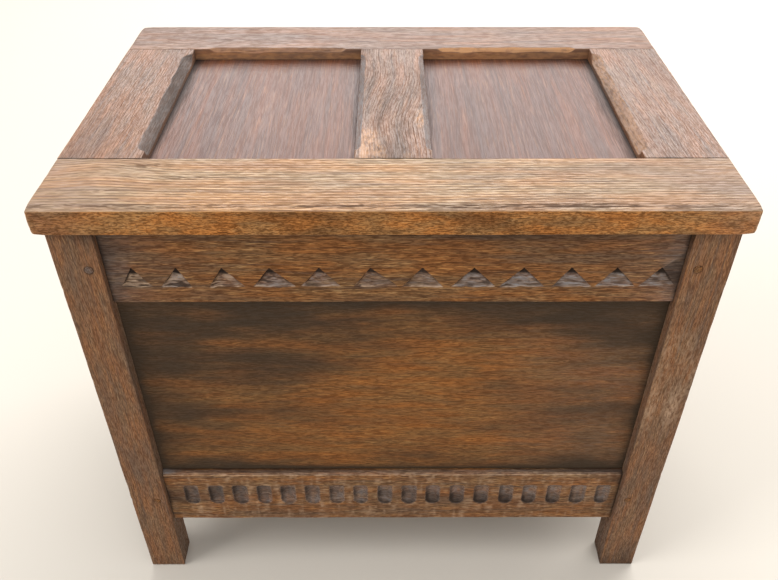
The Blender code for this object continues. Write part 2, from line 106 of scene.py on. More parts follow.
class WearSettings(PropertyGroup):
    """How far use has rounded and dished the timbers."""

    arris: size("Arris", "Round on most arrises", 0.0011)
    post_arris: size("Post arris", "Round on the upright arrises of the posts", 0.0020)
    foot_arris: size("Foot arris", "Round under the feet", 0.0026)
    chip_rail_arris: size("Chip rail arris", "Round under the chip-carved rail", 0.0012)
    flute_rail_arris: size("Flute rail arris", "Round under the fluted rail", 0.0018)
    lid_arris: size("Lid arris", "Round along the outer top arrises of the lid", 0.0013)
    lid_inner_arris: size("Lid inner arris", "Round on the lid rails beside the panels", 0.0007)
    lid_corner: size("Lid corner", "Round on the upright corners of the lid", 0.0042)
    lid_knock: size("Lid knock", "Extra round at the four knocked corners of the lid", 0.0024)
    knock_reach: size("Knock reach", "How far a knocked corner reaches", 0.008)
    shoulder: size("Shoulder", "Round on arrises that meet another timber", 0.0003)
    hollow: size("Plane hollows", "Depth of the hollows left by a hand plane", 0.00022)
    hollow_length: size("Hollow length", "Length of one hollow along the timber", 0.070)


class JointSettings(PropertyGroup):
    """Sizes of the joints that the frame's boxes do not give."""

    tenon_thickness: size("Tenon thickness", "Thickness of every tenon", 0.007)
    tenon_shoulder: size("Tenon shoulder", "Step from a timber's edge to its tenon", 0.010)
    peg_radius: size("Peg radius", "Radius of the pegs in the front and back joints", 0.0034)
    peg_hole_depth: size("Peg hole depth", "Depth of the hole shown round a peg", 0.004)


class CarvingSettings(PropertyGroup):
    """Carving on the two front rails."""

    chip_widths: row(
        "Chip widths", "Width of each three-cornered chip",
        (0.0270, 0.0271, 0.0315, 0.0370, 0.0357, 0.0395, 0.0368, 0.0388, 0.0395, 0.0345, 0.0352, 0.0325),
        "LENGTH")
    chip_leans: row(
        "Chip leans", "How far each chip's point stands left of its middle",
        (0.0015, -0.0022, 0.0028, 0.0028, 0.0006, 0.0042, 0.0001, 0.0005, -0.0002, 0.0020, 0.0010, -0.0006),
        "LENGTH")
    chip_paleness: row(
        "Chip paleness", "How dry and pale the floor of each chip is",
        (0.95, 1.45, 0.62, 1.10, 0.66, 0.40, 0.52, 1.15, 1.10, 1.10, 1.05, 1.0))
    chip_pitch: size("Chip pitch", "Mean distance between chips", 0.0394)
    chip_shift: size("Chip shift", "How far the row of chips stands to the right of the middle", 0.0025)
    chip_bulge: size("Chip bulge", "How far the row opens out on each side of its middle", 0.0056)
    chip_rise: size("Chip rise", "Height of the chips' base line above the rail's lower edge", 0.016)
    chip_height: size("Chip height", "Height of a chip", 0.0198)
    chip_depth: size("Chip depth", "Depth of a chip at its point", 0.0048)
    chip_blunt: size("Chip bluntness", "Half the width of a chip at its point", 0.0005)
    flute_count: IntProperty(name="Flutes", description="Number of gouge flutes", default=18, min=1)
    flute_pitch: size("Flute pitch", "Distance between flutes", 0.0253)
    flute_width: size("Flute width", "Width of a flute", 0.0166)
    flute_height: size("Flute height", "Height of a flute", 0.0318)
    flute_depth: size("Flute depth", "Depth of a flute", 0.0026)
    flute_rise: size("Flute rise", "Height of the flutes' feet above the rail's lower edge", 0.0246)
    flute_shift: size("Flute shift", "How far the row of flutes stands to the right of the middle", 0.0045)
    flute_top: size("Flute top", "Height over which a flute's square end slopes", 0.0040)
    sill_chamfer: size("Sill chamfer", "Chamfer along the top of the fluted rail", 0.004)


class ChamferSettings(PropertyGroup):
    """Stopped chamfers round the two lid panels."""

    stile: size("Stile", "Width of the chamfers on the stiles", 0.0080)
    muntin: size("Muntin", "Width of the chamfers on the muntin", 0.0055)
    back: size("Back rail", "Width of the chamfers on the back rail", 0.0040)
    waver: share("Waver", "How far the hand-cut edge strays, as a share of its width", 0.08)
    stop: size("Stop", "Distance from a joint to the end of the cut", 0.011)
    scoop: size("Scoop", "Radius of the scooped end", 0.012)


# The dirt colour also paints shade, the worn colour painted light and highlights, and the dust colour a
# painted sheen
OAK_COLOURS = {
    "light": "Late wood between the rings",
    "dark": "Early wood along the rings",
    "pore": "Stain and wax in the pores",
    "fleck": "Short bright flecks along the grain",
    "stain": "Dark smudges in the old finish",
    "worn": "Wood where the finish is rubbed through",
    "dirt": "Dirt in corners and recesses",
    "dust": "Dry, unpolished or dusty wood",
}
OAK_AMOUNTS = {
    "stain_amount": "How much of the surface is smudged",
    "fleck_amount": "How strongly the flecks show",
    "ring_contrast": "How strongly the rings show",
    "pore_amount": "How strongly the pores show",
    "streak_contrast": "How strongly the long streaks show",
    "dirt_grain": "How far the pores break up the dirt",
}
OAK_SIZES = {"ring_width": "Mean width of a ring", "wander": "How far the rings stray"}


def label_of(key):
    """Words of a key, as the panel and the sockets show them."""
    return key.replace("_", " ").title()


def oak_settings(class_name, finish, **values):
    """Settings class for one oak finish: eight colours, six amounts, two sizes and the gloss."""
    notes = {"gloss": share("Gloss", finish + ": strength of the polish's reflections", values["gloss"])}
    for make, keys in ((colour, OAK_COLOURS), (share, OAK_AMOUNTS), (size, OAK_SIZES)):
        for key, note in keys.items():
            notes[key] = make(label_of(key), finish + ": " + note.lower(), values[key])
    return type(class_name, (PropertyGroup,), {"__annotations__": notes, "__doc__": finish + "."})


OAK_FINISHES = {
    # The top of the lid's front rail: its colours are paler and greyer than the edge's, partly a painted
    # sheen
    "lid_front": oak_settings(
        "LidFrontOak", "Golden oak of the lid's front rail",
        light=(0.348, 0.189, 0.067), dark=(0.150, 0.074, 0.034), pore=(0.084, 0.043, 0.025),
        fleck=(0.45, 0.290, 0.137), stain=(0.150, 0.062, 0.030), worn=(0.46, 0.28, 0.13),
        # The dust colour is also the painted sheen at the ends of the rail's top
        dirt=(0.058, 0.022, 0.005), dust=(0.250, 0.172, 0.138),
        stain_amount=0.45, fleck_amount=0.50, ring_contrast=1.35, pore_amount=0.90, streak_contrast=0.6,
        dirt_grain=0.34, ring_width=0.0025, wander=0.0024, gloss=0.5),
    "lid_edge": oak_settings(
        "LidEdgeOak", "Deeper, less polished oak of the lid's front edge",
        light=(0.325, 0.138, 0.036), dark=(0.170, 0.067, 0.016), pore=(0.090, 0.033, 0.008),
        fleck=(0.45, 0.235, 0.085), stain=(0.140, 0.066, 0.022), worn=(0.50, 0.29, 0.12),
        dirt=(0.060, 0.024, 0.007), dust=(0.235, 0.150, 0.110),
        stain_amount=0.45, fleck_amount=0.50, ring_contrast=0.3, pore_amount=0.95, streak_contrast=0.6,
        dirt_grain=0.10, ring_width=0.0025, wander=0.0024, gloss=0.14),
    "lid_frame": oak_settings(
        "LidFrameOak", "Brown oak of the lid's other timbers",
        light=(0.195, 0.088, 0.040), dark=(0.125, 0.054, 0.024), pore=(0.055, 0.025, 0.013),
        fleck=(0.32, 0.165, 0.072), stain=(0.112, 0.060, 0.040), worn=(0.40, 0.19, 0.07),
        dirt=(0.040, 0.025, 0.017), dust=(0.225, 0.200, 0.192),
        stain_amount=0.45, fleck_amount=0.36, ring_contrast=0.40, pore_amount=0.44, streak_contrast=0.6,
        dirt_grain=0.0, ring_width=0.0021, wander=0.0036, gloss=0.5),
    "lid_panel": oak_settings(
        "LidPanelOak", "Red-brown oak of the lid's panels",
        light=(0.112, 0.041, 0.021), dark=(0.102, 0.039, 0.021), pore=(0.056, 0.023, 0.014),
        fleck=(0.35, 0.155, 0.050), stain=(0.096, 0.046, 0.034), worn=(0.28, 0.13, 0.07),
        dirt=(0.034, 0.020, 0.015), dust=(0.20, 0.14, 0.09),
        stain_amount=0.50, fleck_amount=0.19, ring_contrast=0.03, pore_amount=0.14, streak_contrast=0.70,
        dirt_grain=0.1, ring_width=0.0030, wander=0.006, gloss=0.30),
    "carcass": oak_settings(
        "CarcassOak", "Brown oak of the rails and pegs",
        light=(0.182, 0.078, 0.023), dark=(0.098, 0.039, 0.010), pore=(0.044, 0.016, 0.005),
        fleck=(0.36, 0.195, 0.072), stain=(0.088, 0.052, 0.032), worn=(0.44, 0.28, 0.16),
        dirt=(0.020, 0.012, 0.008), dust=(0.197, 0.176, 0.168),
        stain_amount=0.60, fleck_amount=0.64, ring_contrast=0.42, pore_amount=0.88, streak_contrast=0.7,
        dirt_grain=0.0, ring_width=0.0020, wander=0.0040, gloss=0.16),
    "post": oak_settings(
        "PostOak", "Brown oak of the posts, with a finer figure",
        light=(0.170, 0.073, 0.023), dark=(0.105, 0.043, 0.012), pore=(0.054, 0.021, 0.007),
        fleck=(0.32, 0.172, 0.066), stain=(0.088, 0.052, 0.032), worn=(0.44, 0.28, 0.16),
        dirt=(0.020, 0.012, 0.008), dust=(0.200, 0.168, 0.152),
        stain_amount=0.60, fleck_amount=0.54, ring_contrast=0.32, pore_amount=0.76, streak_contrast=0.6,
        dirt_grain=0.0, ring_width=0.0020, wander=0.0040, gloss=0.16),
    "carcass_panel": oak_settings(
        "CarcassPanelOak", "Smudged oak of the wall panels",
        light=(0.208, 0.083, 0.019), dark=(0.138, 0.051, 0.011), pore=(0.066, 0.024, 0.006),
        fleck=(0.34, 0.165, 0.050), stain=(0.095, 0.050, 0.024), worn=(0.28, 0.15, 0.08),
        dirt=(0.036, 0.022, 0.012), dust=(0.068, 0.056, 0.049),
        stain_amount=0.40, fleck_amount=0.46, ring_contrast=0.2, pore_amount=0.74, streak_contrast=0.45,
        dirt_grain=0.0, ring_width=0.0022, wander=0.010, gloss=0.18),
    "inner": oak_settings(
        "InnerWood", "Bare wood of the bottom and its cleats",
        light=(0.330, 0.220, 0.120), dark=(0.235, 0.145, 0.075), pore=(0.120, 0.070, 0.036),
        fleck=(0.40, 0.27, 0.15), stain=(0.150, 0.100, 0.065), worn=(0.40, 0.28, 0.17),
        dirt=(0.070, 0.050, 0.034), dust=(0.30, 0.23, 0.16),
        stain_amount=0.5, fleck_amount=0.3, ring_contrast=0.8, pore_amount=0.5, streak_contrast=0.8,
        dirt_grain=0.3, ring_width=0.0030, wander=0.008, gloss=0.32),
}


class BrassSettings(PropertyGroup):
    """Brass of the hinges and screws."""

    bright: colour("Bright", "Rubbed brass", (0.40, 0.27, 0.115))
    dull: colour("Dull", "Tarnished brass", (0.20, 0.130, 0.060))
    screw_bright: colour("Screw bright", "Rubbed brass of the screws", (0.26, 0.175, 0.085))
    screw_dull: colour("Screw dull", "Tarnish on the screws", (0.085, 0.056, 0.030))


class StageSettings(PropertyGroup):
    """Floor, light and camera."""

    floor: colour("Floor", "Plain pale floor", (0.58, 0.53, 0.46))
    floor_reach: size("Floor reach", "Half the width of the floor", 14.0)
    camera_place: FloatVectorProperty(
        name="Camera", description="Place of the camera", size=3, subtype="TRANSLATION",
        default=(-0.0048, -0.6927, 0.8083))
    camera_tilt: FloatProperty(
        name="Tilt", description="How far the camera looks down", subtype="ANGLE",
        default=math.radians(38.66))
    camera_turn: FloatProperty(
        name="Turn", description="How far the camera is turned to the right", subtype="ANGLE",
        default=0.0020)
    camera_lens: FloatProperty(name="Lens", description="Focal length in millimetres", default=36.64)
    sky: colour("Sky", "Light from all round", (0.93, 0.96, 1.0))
    sky_strength: share("Sky strength", "Strength of the light from all round", 0.55)


SETTING_GROUPS = {
    "wear": WearSettings,
    "joints": JointSettings,
    "carving": CarvingSettings,
    "chamfers": ChamferSettings,
    **OAK_FINISHES,
    "brass": BrassSettings,
    "stage": StageSettings,
}
SlipperBoxSettings = type("SlipperBoxSettings", (PropertyGroup,), {
    "__annotations__": {key: PointerProperty(type=group) for key, group in SETTING_GROUPS.items()},
    "__doc__": "All settings of the slipper box.",
})


# Noise and curves


# Added to a timber's seed, so that each use of the noise has its own
NOISE = {
    "arris": 0, "ragged chip": 3, "chip facet": 4, "knock": 5, "chip fibre": 6, "torn chip": 8,
    "flute fibre": 8, "chatter": 9, "chip base": 10, "plane hollow": 11, "post smudge": 17,
    "rubbed post": 19, "chamfer": 21, "panel cloud": 31, "panel smudge": 32, "lid patch": 41,
    "edge dash": 42, "edge cloud": 43, "dull end": 44, "rubbed muntin": 51, "pale streak": 61,
}


def hashed(i, j, k, seed):
    """Repeatable number from -1 to 1 for each whole-numbered place, from its three counts and a seed."""
    mixed = i * 374761393 + j * 668265263 + k * 1442695041 + seed * 1274126177
    mixed = mixed & 0xFFFFFFFF
    mixed = ((mixed ^ (mixed >> 13)) * 1103515245) & 0xFFFFFFFF
    mixed = ((mixed ^ (mixed >> 15)) * 668265263) & 0xFFFFFFFF
    return ((mixed ^ (mixed >> 16)) & 0xFFFF) / 32767.5 - 1.0


def rough(points, scale, seed):
    """Smooth noise from -1 to 1: random numbers at whole places, eased between the eight nearest."""
    places = points / np.asarray(scale, float)
    whole = np.floor(places).astype(np.int64)
    part = places - whole
    ease = part * part * (3.0 - 2.0 * part)
    total = np.zeros(len(points))
    for corner in range(8):
        step = np.array((corner & 1, corner >> 1 & 1, corner >> 2 & 1))
        weight = np.where(step, ease, 1.0 - ease).prod(axis=1)
        total += weight * hashed(*(whole + step).T, seed)
    return total


def seed_of(name):
    """Whole number that goes with a piece's name."""
    return sum((place + 1) * ord(letter) for place, letter in enumerate(name))


def ramp(values, start, run):
    """Straight climb from 0 at the start to 1 after the run, level on both sides."""
    return np.clip((values - start) / run, 0.0, 1.0)


def bell(distance, reach):
    """Bell curve: 1 at no distance, and nearly nothing at twice the reach."""
    return np.exp(-(distance / reach) ** 2)


def fade(distance, reach):
    """Steady fall from 1 at no distance, to a third of it with each further reach."""
    return np.exp(-distance / reach)


# Surfaces


ARRISES = [(a, b) for a in SIDES for b in SIDES if a[1] < b[1]]

# Wear of an arris that has no value of its own, and how far it reaches past the round
ARRIS_WEAR = 0.30
RUB_REACH = 0.0008

# Grid lines beside a rim and a chamfer's edge, as shares of their width, and rings round a bore's centre
RIM_LINES = np.array((0.0, 0.10, 0.24, 0.42, 0.64, 0.90, 1.25, 1.8))
CHAMFER_LINES = np.array((0.25, 0.5, 0.75, 0.9, 1.0, 1.15, 1.4))
BORE_RINGS = np.array((0.35, 0.7, 1.0, 1.25, 1.6, 2.1))

# Width of the lines beside a rim, as a share of the widest arris, and widest round, of the thinnest side
RIM_WIDTH = 1.6
WIDEST_ROUND = 0.42

# Decimals that grid lines are rounded to, and those at which two points count as one
LINE_DECIMALS = 6
WELD_DECIMALS = 7

# Size of the knocks in an arris, level of the noise above which they start, and size of its slow swells
KNOCK_SIZE = 0.008
KNOCK_LEVEL = 0.45
SWELL_SIZE = 0.035

# Grid step along a chamfer's scooped ends, length of its waver, and the mark for points left alone
SCOOP_STEP = 0.0008
WAVER_LENGTH = 0.013
NO_CUT = -1.0


def side_parts(side):
    """Axis of a side such as -Y, the inward direction on that axis, and the two other axes."""
    axis = "XYZ".index(side[1])
    inward = 1.0 if side[0] == "-" else -1.0
    return axis, inward, [other for other in range(3) if other != axis]


def opposite(side):
    """Side across the block."""
    return ("+" if side[0] == "-" else "-") + side[1]


def ends_of(axis):
    """The two sides that an axis runs between."""
    return SIDES[2 * axis:2 * axis + 2]


def grid_lines(low, high, step, marks, rim):
    """Places of the grid lines on one axis: the marks, lines that close up to both rims, and even steps."""
    firm = np.concatenate((low + rim * RIM_LINES, high - rim * RIM_LINES, np.asarray(marks, float)))
    firm = firm[(firm > low - SLIVER / 2) & (firm < high + SLIVER / 2)]
    firm = np.unique(np.round(firm, LINE_DECIMALS))
    even = np.linspace(low, high, max(2, round((high - low) / step) + 1))
    free = np.abs(even[:, None] - firm[None, :]).min(axis=1) > max(LINE_GAP, step / 4)
    return np.unique(np.concatenate((firm, np.round(even[free], LINE_DECIMALS))))


def welded_grids(xs, ys, zs):
    """Skin of a lattice: six grids that share the points along their rims, with quads facing outwards."""
    shape = (len(xs), len(ys), len(zs))
    skin = np.zeros(shape, bool)
    skin[[0, -1]] = skin[:, [0, -1]] = skin[:, :, [0, -1]] = True
    number = np.full(shape, -1)
    number[skin] = np.arange(skin.sum())
    i, j, k = np.nonzero(skin)
    points = np.stack((xs[i], ys[j], zs[k]), axis=1)
    sides = {"-X": number[0], "+X": number[-1], "-Y": number[:, 0], "+Y": number[:, -1],
             "-Z": number[:, :, 0], "+Z": number[:, :, -1]}
    quads = []
    for side, grid in sides.items():
        rings = np.stack((grid[:-1, :-1], grid[1:, :-1], grid[1:, 1:], grid[:-1, 1:]), axis=-1)
        rings = rings.reshape(-1, 4)
        quads.append(rings if side in ("+X", "-Y", "+Z") else rings[:, ::-1])
    return points, np.concatenate(quads), sides


def weld(points, quads, fields):
    """Merge points that have come together, and split the quads into whole ones and triangles."""
    near = np.round(points, WELD_DECIMALS)
    kept, back = np.unique(near, axis=0, return_index=True, return_inverse=True)[1:]
    quads = back.reshape(-1)[quads]
    repeat = quads == np.roll(quads, -1, axis=1)
    repeats = repeat.sum(axis=1)
    crossed = (quads[:, 0] == quads[:, 2]) | (quads[:, 1] == quads[:, 3])
    whole = quads[(repeats == 0) & ~crossed]
    short = (repeats == 1) & ~crossed
    order = (repeat[short].argmax(axis=1)[:, None] + np.array((1, 2, 3))) % 4
    triangles = np.take_along_axis(quads[short], order, axis=1)
    return points[kept], whole, triangles, {name: field[kept] for name, field in fields.items()}


def lay_mesh(name, points, quads, fields, material):
    """Put welded points, faces and their fields into a mesh object at the origin."""
    points, whole, triangles, fields = weld(points, quads, fields)
    loops = np.concatenate((whole.ravel(), triangles.ravel()))
    starts = np.concatenate((np.arange(len(whole)) * 4, whole.size + np.arange(len(triangles)) * 3))
    mesh = bpy.data.meshes.new(name)
    mesh.vertices.add(len(points))
    mesh.vertices.foreach_set("co", points.astype(np.float32).ravel())
    mesh.loops.add(len(loops))
    mesh.loops.foreach_set("vertex_index", loops.astype(np.int32))
    mesh.polygons.add(len(starts))
    mesh.polygons.foreach_set("loop_start", starts.astype(np.int32))
    mesh.update(calc_edges=True)
    for field, values in fields.items():
        attribute = mesh.attributes.new(field, "FLOAT_VECTOR", "POINT")
        attribute.data.foreach_set("vector", values.astype(np.float32).ravel())
    mesh.shade_smooth()
    mesh.set_sharp_from_angle(angle=SHARP_ANGLE)
    mesh.materials.append(material)
    piece = bpy.data.objects.new(name, mesh)
    bpy.context.scene.collection.objects.link(piece)
    return piece


def stand_for(piece, node, body):
    """Put a piece in the place of a node of the frame."""
    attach(piece, body)
    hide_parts(node)
    return piece


class Timber:
    """Worn timber: six welded grids that are rounded, jointed and carved as whole arrays.

    Each shape added to it is a function of all its points at once. The points' rest places say where
    on the block they belong, and marks keep grid lines along the edges of each shape. Its age has three
    columns: wear, dirt and dust.
    """

    def __init__(self, node, low, high, grain, ease, step=0.005):
        self.node = node
        self.low = np.array(low, float)
        self.high = np.array(high, float)
        self.grain = grain
        self.ease = ease
        self.step = step
        self.seed = seed_of(node)
        self.marks = ([], [], [])
        self.arrises = {}
        self.knocked_corners = []
        self.shapes = []
        self.soils = []
        self.stains = []
        self.dusts = []
        self.pith = (0.0, -0.07)
        self.lean = 0.0
        self.knots = []
        self.figure_scale = (1.0, 1.0)
        self.finer_sides = {}

    def plane(self, side):
        """Place of one side of the block on its axis."""
        axis, inward, _ = side_parts(side)
        return self.low[axis] if inward > 0 else self.high[axis]

    def inside(self, points, side):
        """Distance of each point inwards from one side of the block."""
        axis, inward, _ = side_parts(side)
        return (points[:, axis] - self.plane(side)) * inward

    def from_ends(self, points):
        """Distance of each point from the nearer end of the block along the grain."""
        first, last = ends_of(self.grain)
        return np.minimum(self.inside(points, first), self.inside(points, last))

    def noise(self, points, scale, use):
        """The timber's own noise for one use, from -1 to 1."""
        return rough(points, scale, self.seed + NOISE[use])

    def speckle(self, points, scale, use):
        """The same noise from 0 to 1."""
        return 0.5 + 0.5 * self.noise(points, scale, use)

    def arris(self, pair, radius, exposure):
        """Give an arris its own round and its own share of wear."""
        self.arrises[tuple(sorted(pair, key=lambda side: side[1]))] = (radius, exposure)

    def soil(self, side, reach, amount):
        """Dirt that fades away inwards from one side of the block."""
        self.soils.append((side, reach, amount))

    def stain(self, side, paint):
        """Age on one side: raised to the amounts that paint gives for its columns, where it is less."""
        def field(points, rest, sides, age):
            on = sides[side].ravel()
            for column, amount in paint(rest[on], points[on]).items():
                age[on, column] = np.maximum(age[on, column], amount)

        self.stains.append(field)

    def sink(self, side, spans, depth):
        """Pocket, groove or mortise: points in the spans lie at least the depth below the side.

        A negative depth raises them instead, as a tenon.
        """
        axis, inward, across = side_parts(side)
        for other, (start, end) in zip(across, spans):
            self.marks[other].extend((start - SLIVER, start, end, end + SLIVER))

        def shape(points, rest, sides):
            held = np.ones(len(rest), bool)
            for other, (start, end) in zip(across, spans):
                held &= (rest[:, other] > start - SLIVER / 2) & (rest[:, other] < end + SLIVER / 2)
            if depth < 0:
                held &= np.isin(np.arange(len(rest)), sides[side])
                points[held, axis] += inward * depth
            else:
                short = np.maximum(depth - self.inside(points, side), 0.0)
                held &= short <= depth + LINE_GAP
                points[held, axis] += inward * short[held]

        self.shapes.append(shape)

    def house(self, side, low, high, whole=()):
        """Groove or mortise for a neighbour's edge or tenon, whose box is given by its corners.

        It clears the box by the gap all round, but runs the length of the block on the whole axes.
        """
        axis, inward, across = side_parts(side)
        tip = high[axis] if inward > 0 else low[axis]
        spans = [
            (self.low[a], self.high[a]) if a in whole else (low[a] - FIT, high[a] + FIT) for a in across]
        self.sink(side, spans, abs(tip - self.plane(side)) + FIT)

    def tenons(self, axis, low, high):
        """Tenons on both ends of the block, out to the ends of the box given by its corners."""
        for side in ends_of(axis):
            _, inward, across = side_parts(side)
            tip = low[axis] if inward > 0 else high[axis]
            self.sink(side, [(low[a], high[a]) for a in across], (tip - self.plane(side)) * inward)

    def bore(self, side, centre, radius, depth):
        """Round hole: square rings of the grid become circles near the centre, and the inner ones sink."""
        axis, inward, across = side_parts(side)
        rings = radius * BORE_RINGS
        for other, middle in zip(across, centre):
            self.marks[other].extend(np.concatenate((
                (middle,), middle + rings, middle - rings,
                (middle + radius + SLIVER, middle - radius - SLIVER))))

        def shape(points, rest, sides):
            on = sides[side].ravel()
            offset = rest[on][:, across] - np.asarray(centre)
            square = np.abs(offset).max(axis=1)
            on, offset, square = (part[square < rings[-1]] for part in (on, offset, square))
            circle = np.linalg.norm(offset, axis=1)
            turned = np.clip((rings[-1] - square) / (rings[-1] - radius), 0.0, 1.0)
            factor = 1.0 + (square / np.maximum(circle, SLIVER) - 1.0) * turned
            for place, other in enumerate(across):
                points[on, other] = centre[place] + offset[:, place] * factor
            points[on[square < radius + SLIVER / 2], axis] += inward * depth

        self.shapes.append(shape)

    def chamfer(self, pair, span, legs, scoop, waver, soot=0.0, dry=0.0, rubbed=0.0):
        """Stopped chamfer: points near an arris are pushed back to a plane through the two legs' ends.

        The cut dies away at both ends of the span along a quarter circle of the scoop's radius, and
        its depth strays along the arris by the waver. The cut face is soiled, dry and rubbed as given.
        """
        along = ({0, 1, 2} - {side_parts(side)[0] for side in pair}).pop()
        start, end = span
        run = np.arange(0.0, scoop, SCOOP_STEP)
        self.marks[along].extend(np.concatenate((start + run, end - run)))
        for side, leg in zip(pair, legs):
            axis, inward, _ = side_parts(side)
            self.marks[axis].extend(self.plane(side) + inward * leg * CHAMFER_LINES)
        slope = math.hypot(*legs)
        turn = (legs[1] / slope, legs[0] / slope)

        def outside(points, rest):
            """How far each point lies outside the cut, or the mark where there is none."""
            into = np.minimum(rest[:, along] - start, end - rest[:, along])
            arc = np.clip(scoop - into, 0.0, scoop)
            stray = 1.0 + waver * self.noise(rest * (np.arange(3) == along), WAVER_LENGTH, "chamfer")
            cut = legs[0] * legs[1] / slope * stray - scoop + np.sqrt(scoop ** 2 - arc ** 2)
            past = cut - self.inside(points, pair[0]) * turn[0] - self.inside(points, pair[1]) * turn[1]
            return np.where((into > 0) & (cut > 0), past, NO_CUT)

        def shape(points, rest, sides):
            past = outside(points, rest)
            push = np.where(past > NO_CUT, 0.5 * (past + np.sqrt(past ** 2 + LINE_GAP ** 2)), 0.0)
            for side, part in zip(pair, turn):
                axis, inward, _ = side_parts(side)
                points[:, axis] += inward * push * part

        def field(points, rest, sides, age):
            face = ramp(outside(rest, rest), 0.0, LINE_GAP)
            age[:] = np.maximum(age, face[:, None] * np.array((rubbed, soot, dry)))

        self.shapes.append(shape)
        self.stains.append(field)

    def radii(self, rest):
        """Round of the nearest arris at each point, roughened by wear, and how worn the point is."""
        total = np.zeros(len(rest))
        weight = np.zeros(len(rest))
        wear = np.zeros(len(rest))
        for pair in ARRISES:
            radius, exposure = self.arrises.get(pair, (self.ease, ARRIS_WEAR))
            away = np.hypot(self.inside(rest, pair[0]), self.inside(rest, pair[1]))
            near = 1.0 / (away + LINE_GAP) ** 3
            total += near * radius
            weight += near
            wear = np.maximum(wear, exposure * bell(away, RUB_REACH + radius))
        knocks = np.maximum(self.noise(rest, KNOCK_SIZE, "knock") - KNOCK_LEVEL, 0.0)
        swells = self.noise(rest, SWELL_SIZE, "arris")
        radius = total / weight * (0.80 + 0.35 * swells + 1.1 * knocks)
        for corner, reach, extra in self.knocked_corners:
            radius = radius + extra * bell(np.linalg.norm(rest - corner, axis=1), reach)
        widest = WIDEST_ROUND * (self.high - self.low).min()
        return np.minimum(radius, widest), wear * (0.8 + 1.2 * knocks)

    def surface(self, wear_settings):
        """Points, quads and fields of the finished timber."""
        rim = RIM_WIDTH * max([self.ease] + [radius for radius, _ in self.arrises.values()])
        lines = [grid_lines(self.low[a], self.high[a], self.step, self.marks[a], rim) for a in range(3)]
        rest, quads, sides = welded_grids(*lines)
        radius, wear = self.radii(rest)
        core = np.clip(rest, self.low + radius[:, None], self.high - radius[:, None])
        reach = rest - core
        points = core + reach * (radius / np.maximum(np.linalg.norm(reach, axis=1), SLIVER))[:, None]
        spread = np.full(3, wear_settings.hollow_length / 3)
        spread[self.grain] = wear_settings.hollow_length
        dish = wear_settings.hollow * self.speckle(rest, spread, "plane hollow")
        for side, grid in sides.items():
            axis, inward, _ = side_parts(side)
            points[grid.ravel(), axis] += inward * dish[grid.ravel()]
        age = np.zeros((len(rest), 3))
        age[:, WEAR_AND_PAINTED_LIGHT] = wear
        # Dirt and painted shade that fade in from the sides
        for side, reach, amount in self.soils:
            dirt = amount * fade(np.abs(self.inside(rest, side)), reach)
            age[:, DIRT_AND_PAINTED_SHADE] = np.maximum(age[:, DIRT_AND_PAINTED_SHADE], dirt)
        for shape in self.shapes:
            shape(points, rest, sides)
        for field in self.stains:
            field(points, rest, sides, age)
        for side, amount in self.dusts:
            on = sides[side][1:-1, 1:-1].ravel()
            age[on, DUST_AND_PAINTED_SHEEN] = np.maximum(age[on, DUST_AND_PAINTED_SHEEN], amount)
        place = self.log_place(points)
        for side, finer in self.finer_sides.items():
            place[sides[side][1:-1, 1:-1].ravel()] *= finer
        return points, quads, {"age": np.clip(age, 0.0, 1.0), "log_place": place}

    def log_place(self, points):
        """Place of each point in the tree: along the grain, then two distances from the pith.

        A knot, given as its centre, reach and push, bends the grain round it by a bell curve. The scale
        of the figure makes it longer along the grain and coarser across it.
        """
        middle = (self.low + self.high) / 2
        across = [axis for axis in range(3) if axis != self.grain]
        along = points[:, self.grain] - middle[self.grain]
        first = points[:, across[0]] - middle[across[0]]
        second = points[:, across[1]] - middle[across[1]]
        for centre, reach, push in self.knots:
            away = np.hypot(points[:, self.grain] - centre[0], points[:, across[0]] - centre[1])
            first = first + push * bell(away, reach)
        turned = along * math.cos(self.lean) + first * math.sin(self.lean)
        first = first * math.cos(self.lean) - along * math.sin(self.lean)
        offset = self.seed % 97 * 0.37
        longer, coarser = self.figure_scale
        place = np.stack((turned + offset, first - self.pith[0], second - self.pith[1]), axis=1)
        return place / np.array((longer, coarser, coarser))

    def lay(self, settings, body, slot, material):
        """Make the timber's object, in place of its node."""
        points, quads, fields = self.surface(settings.wear)
        piece = lay_mesh(self.node + "_timber", points, quads, fields, material)
        return stand_for(piece, self.node, body)


# Materials


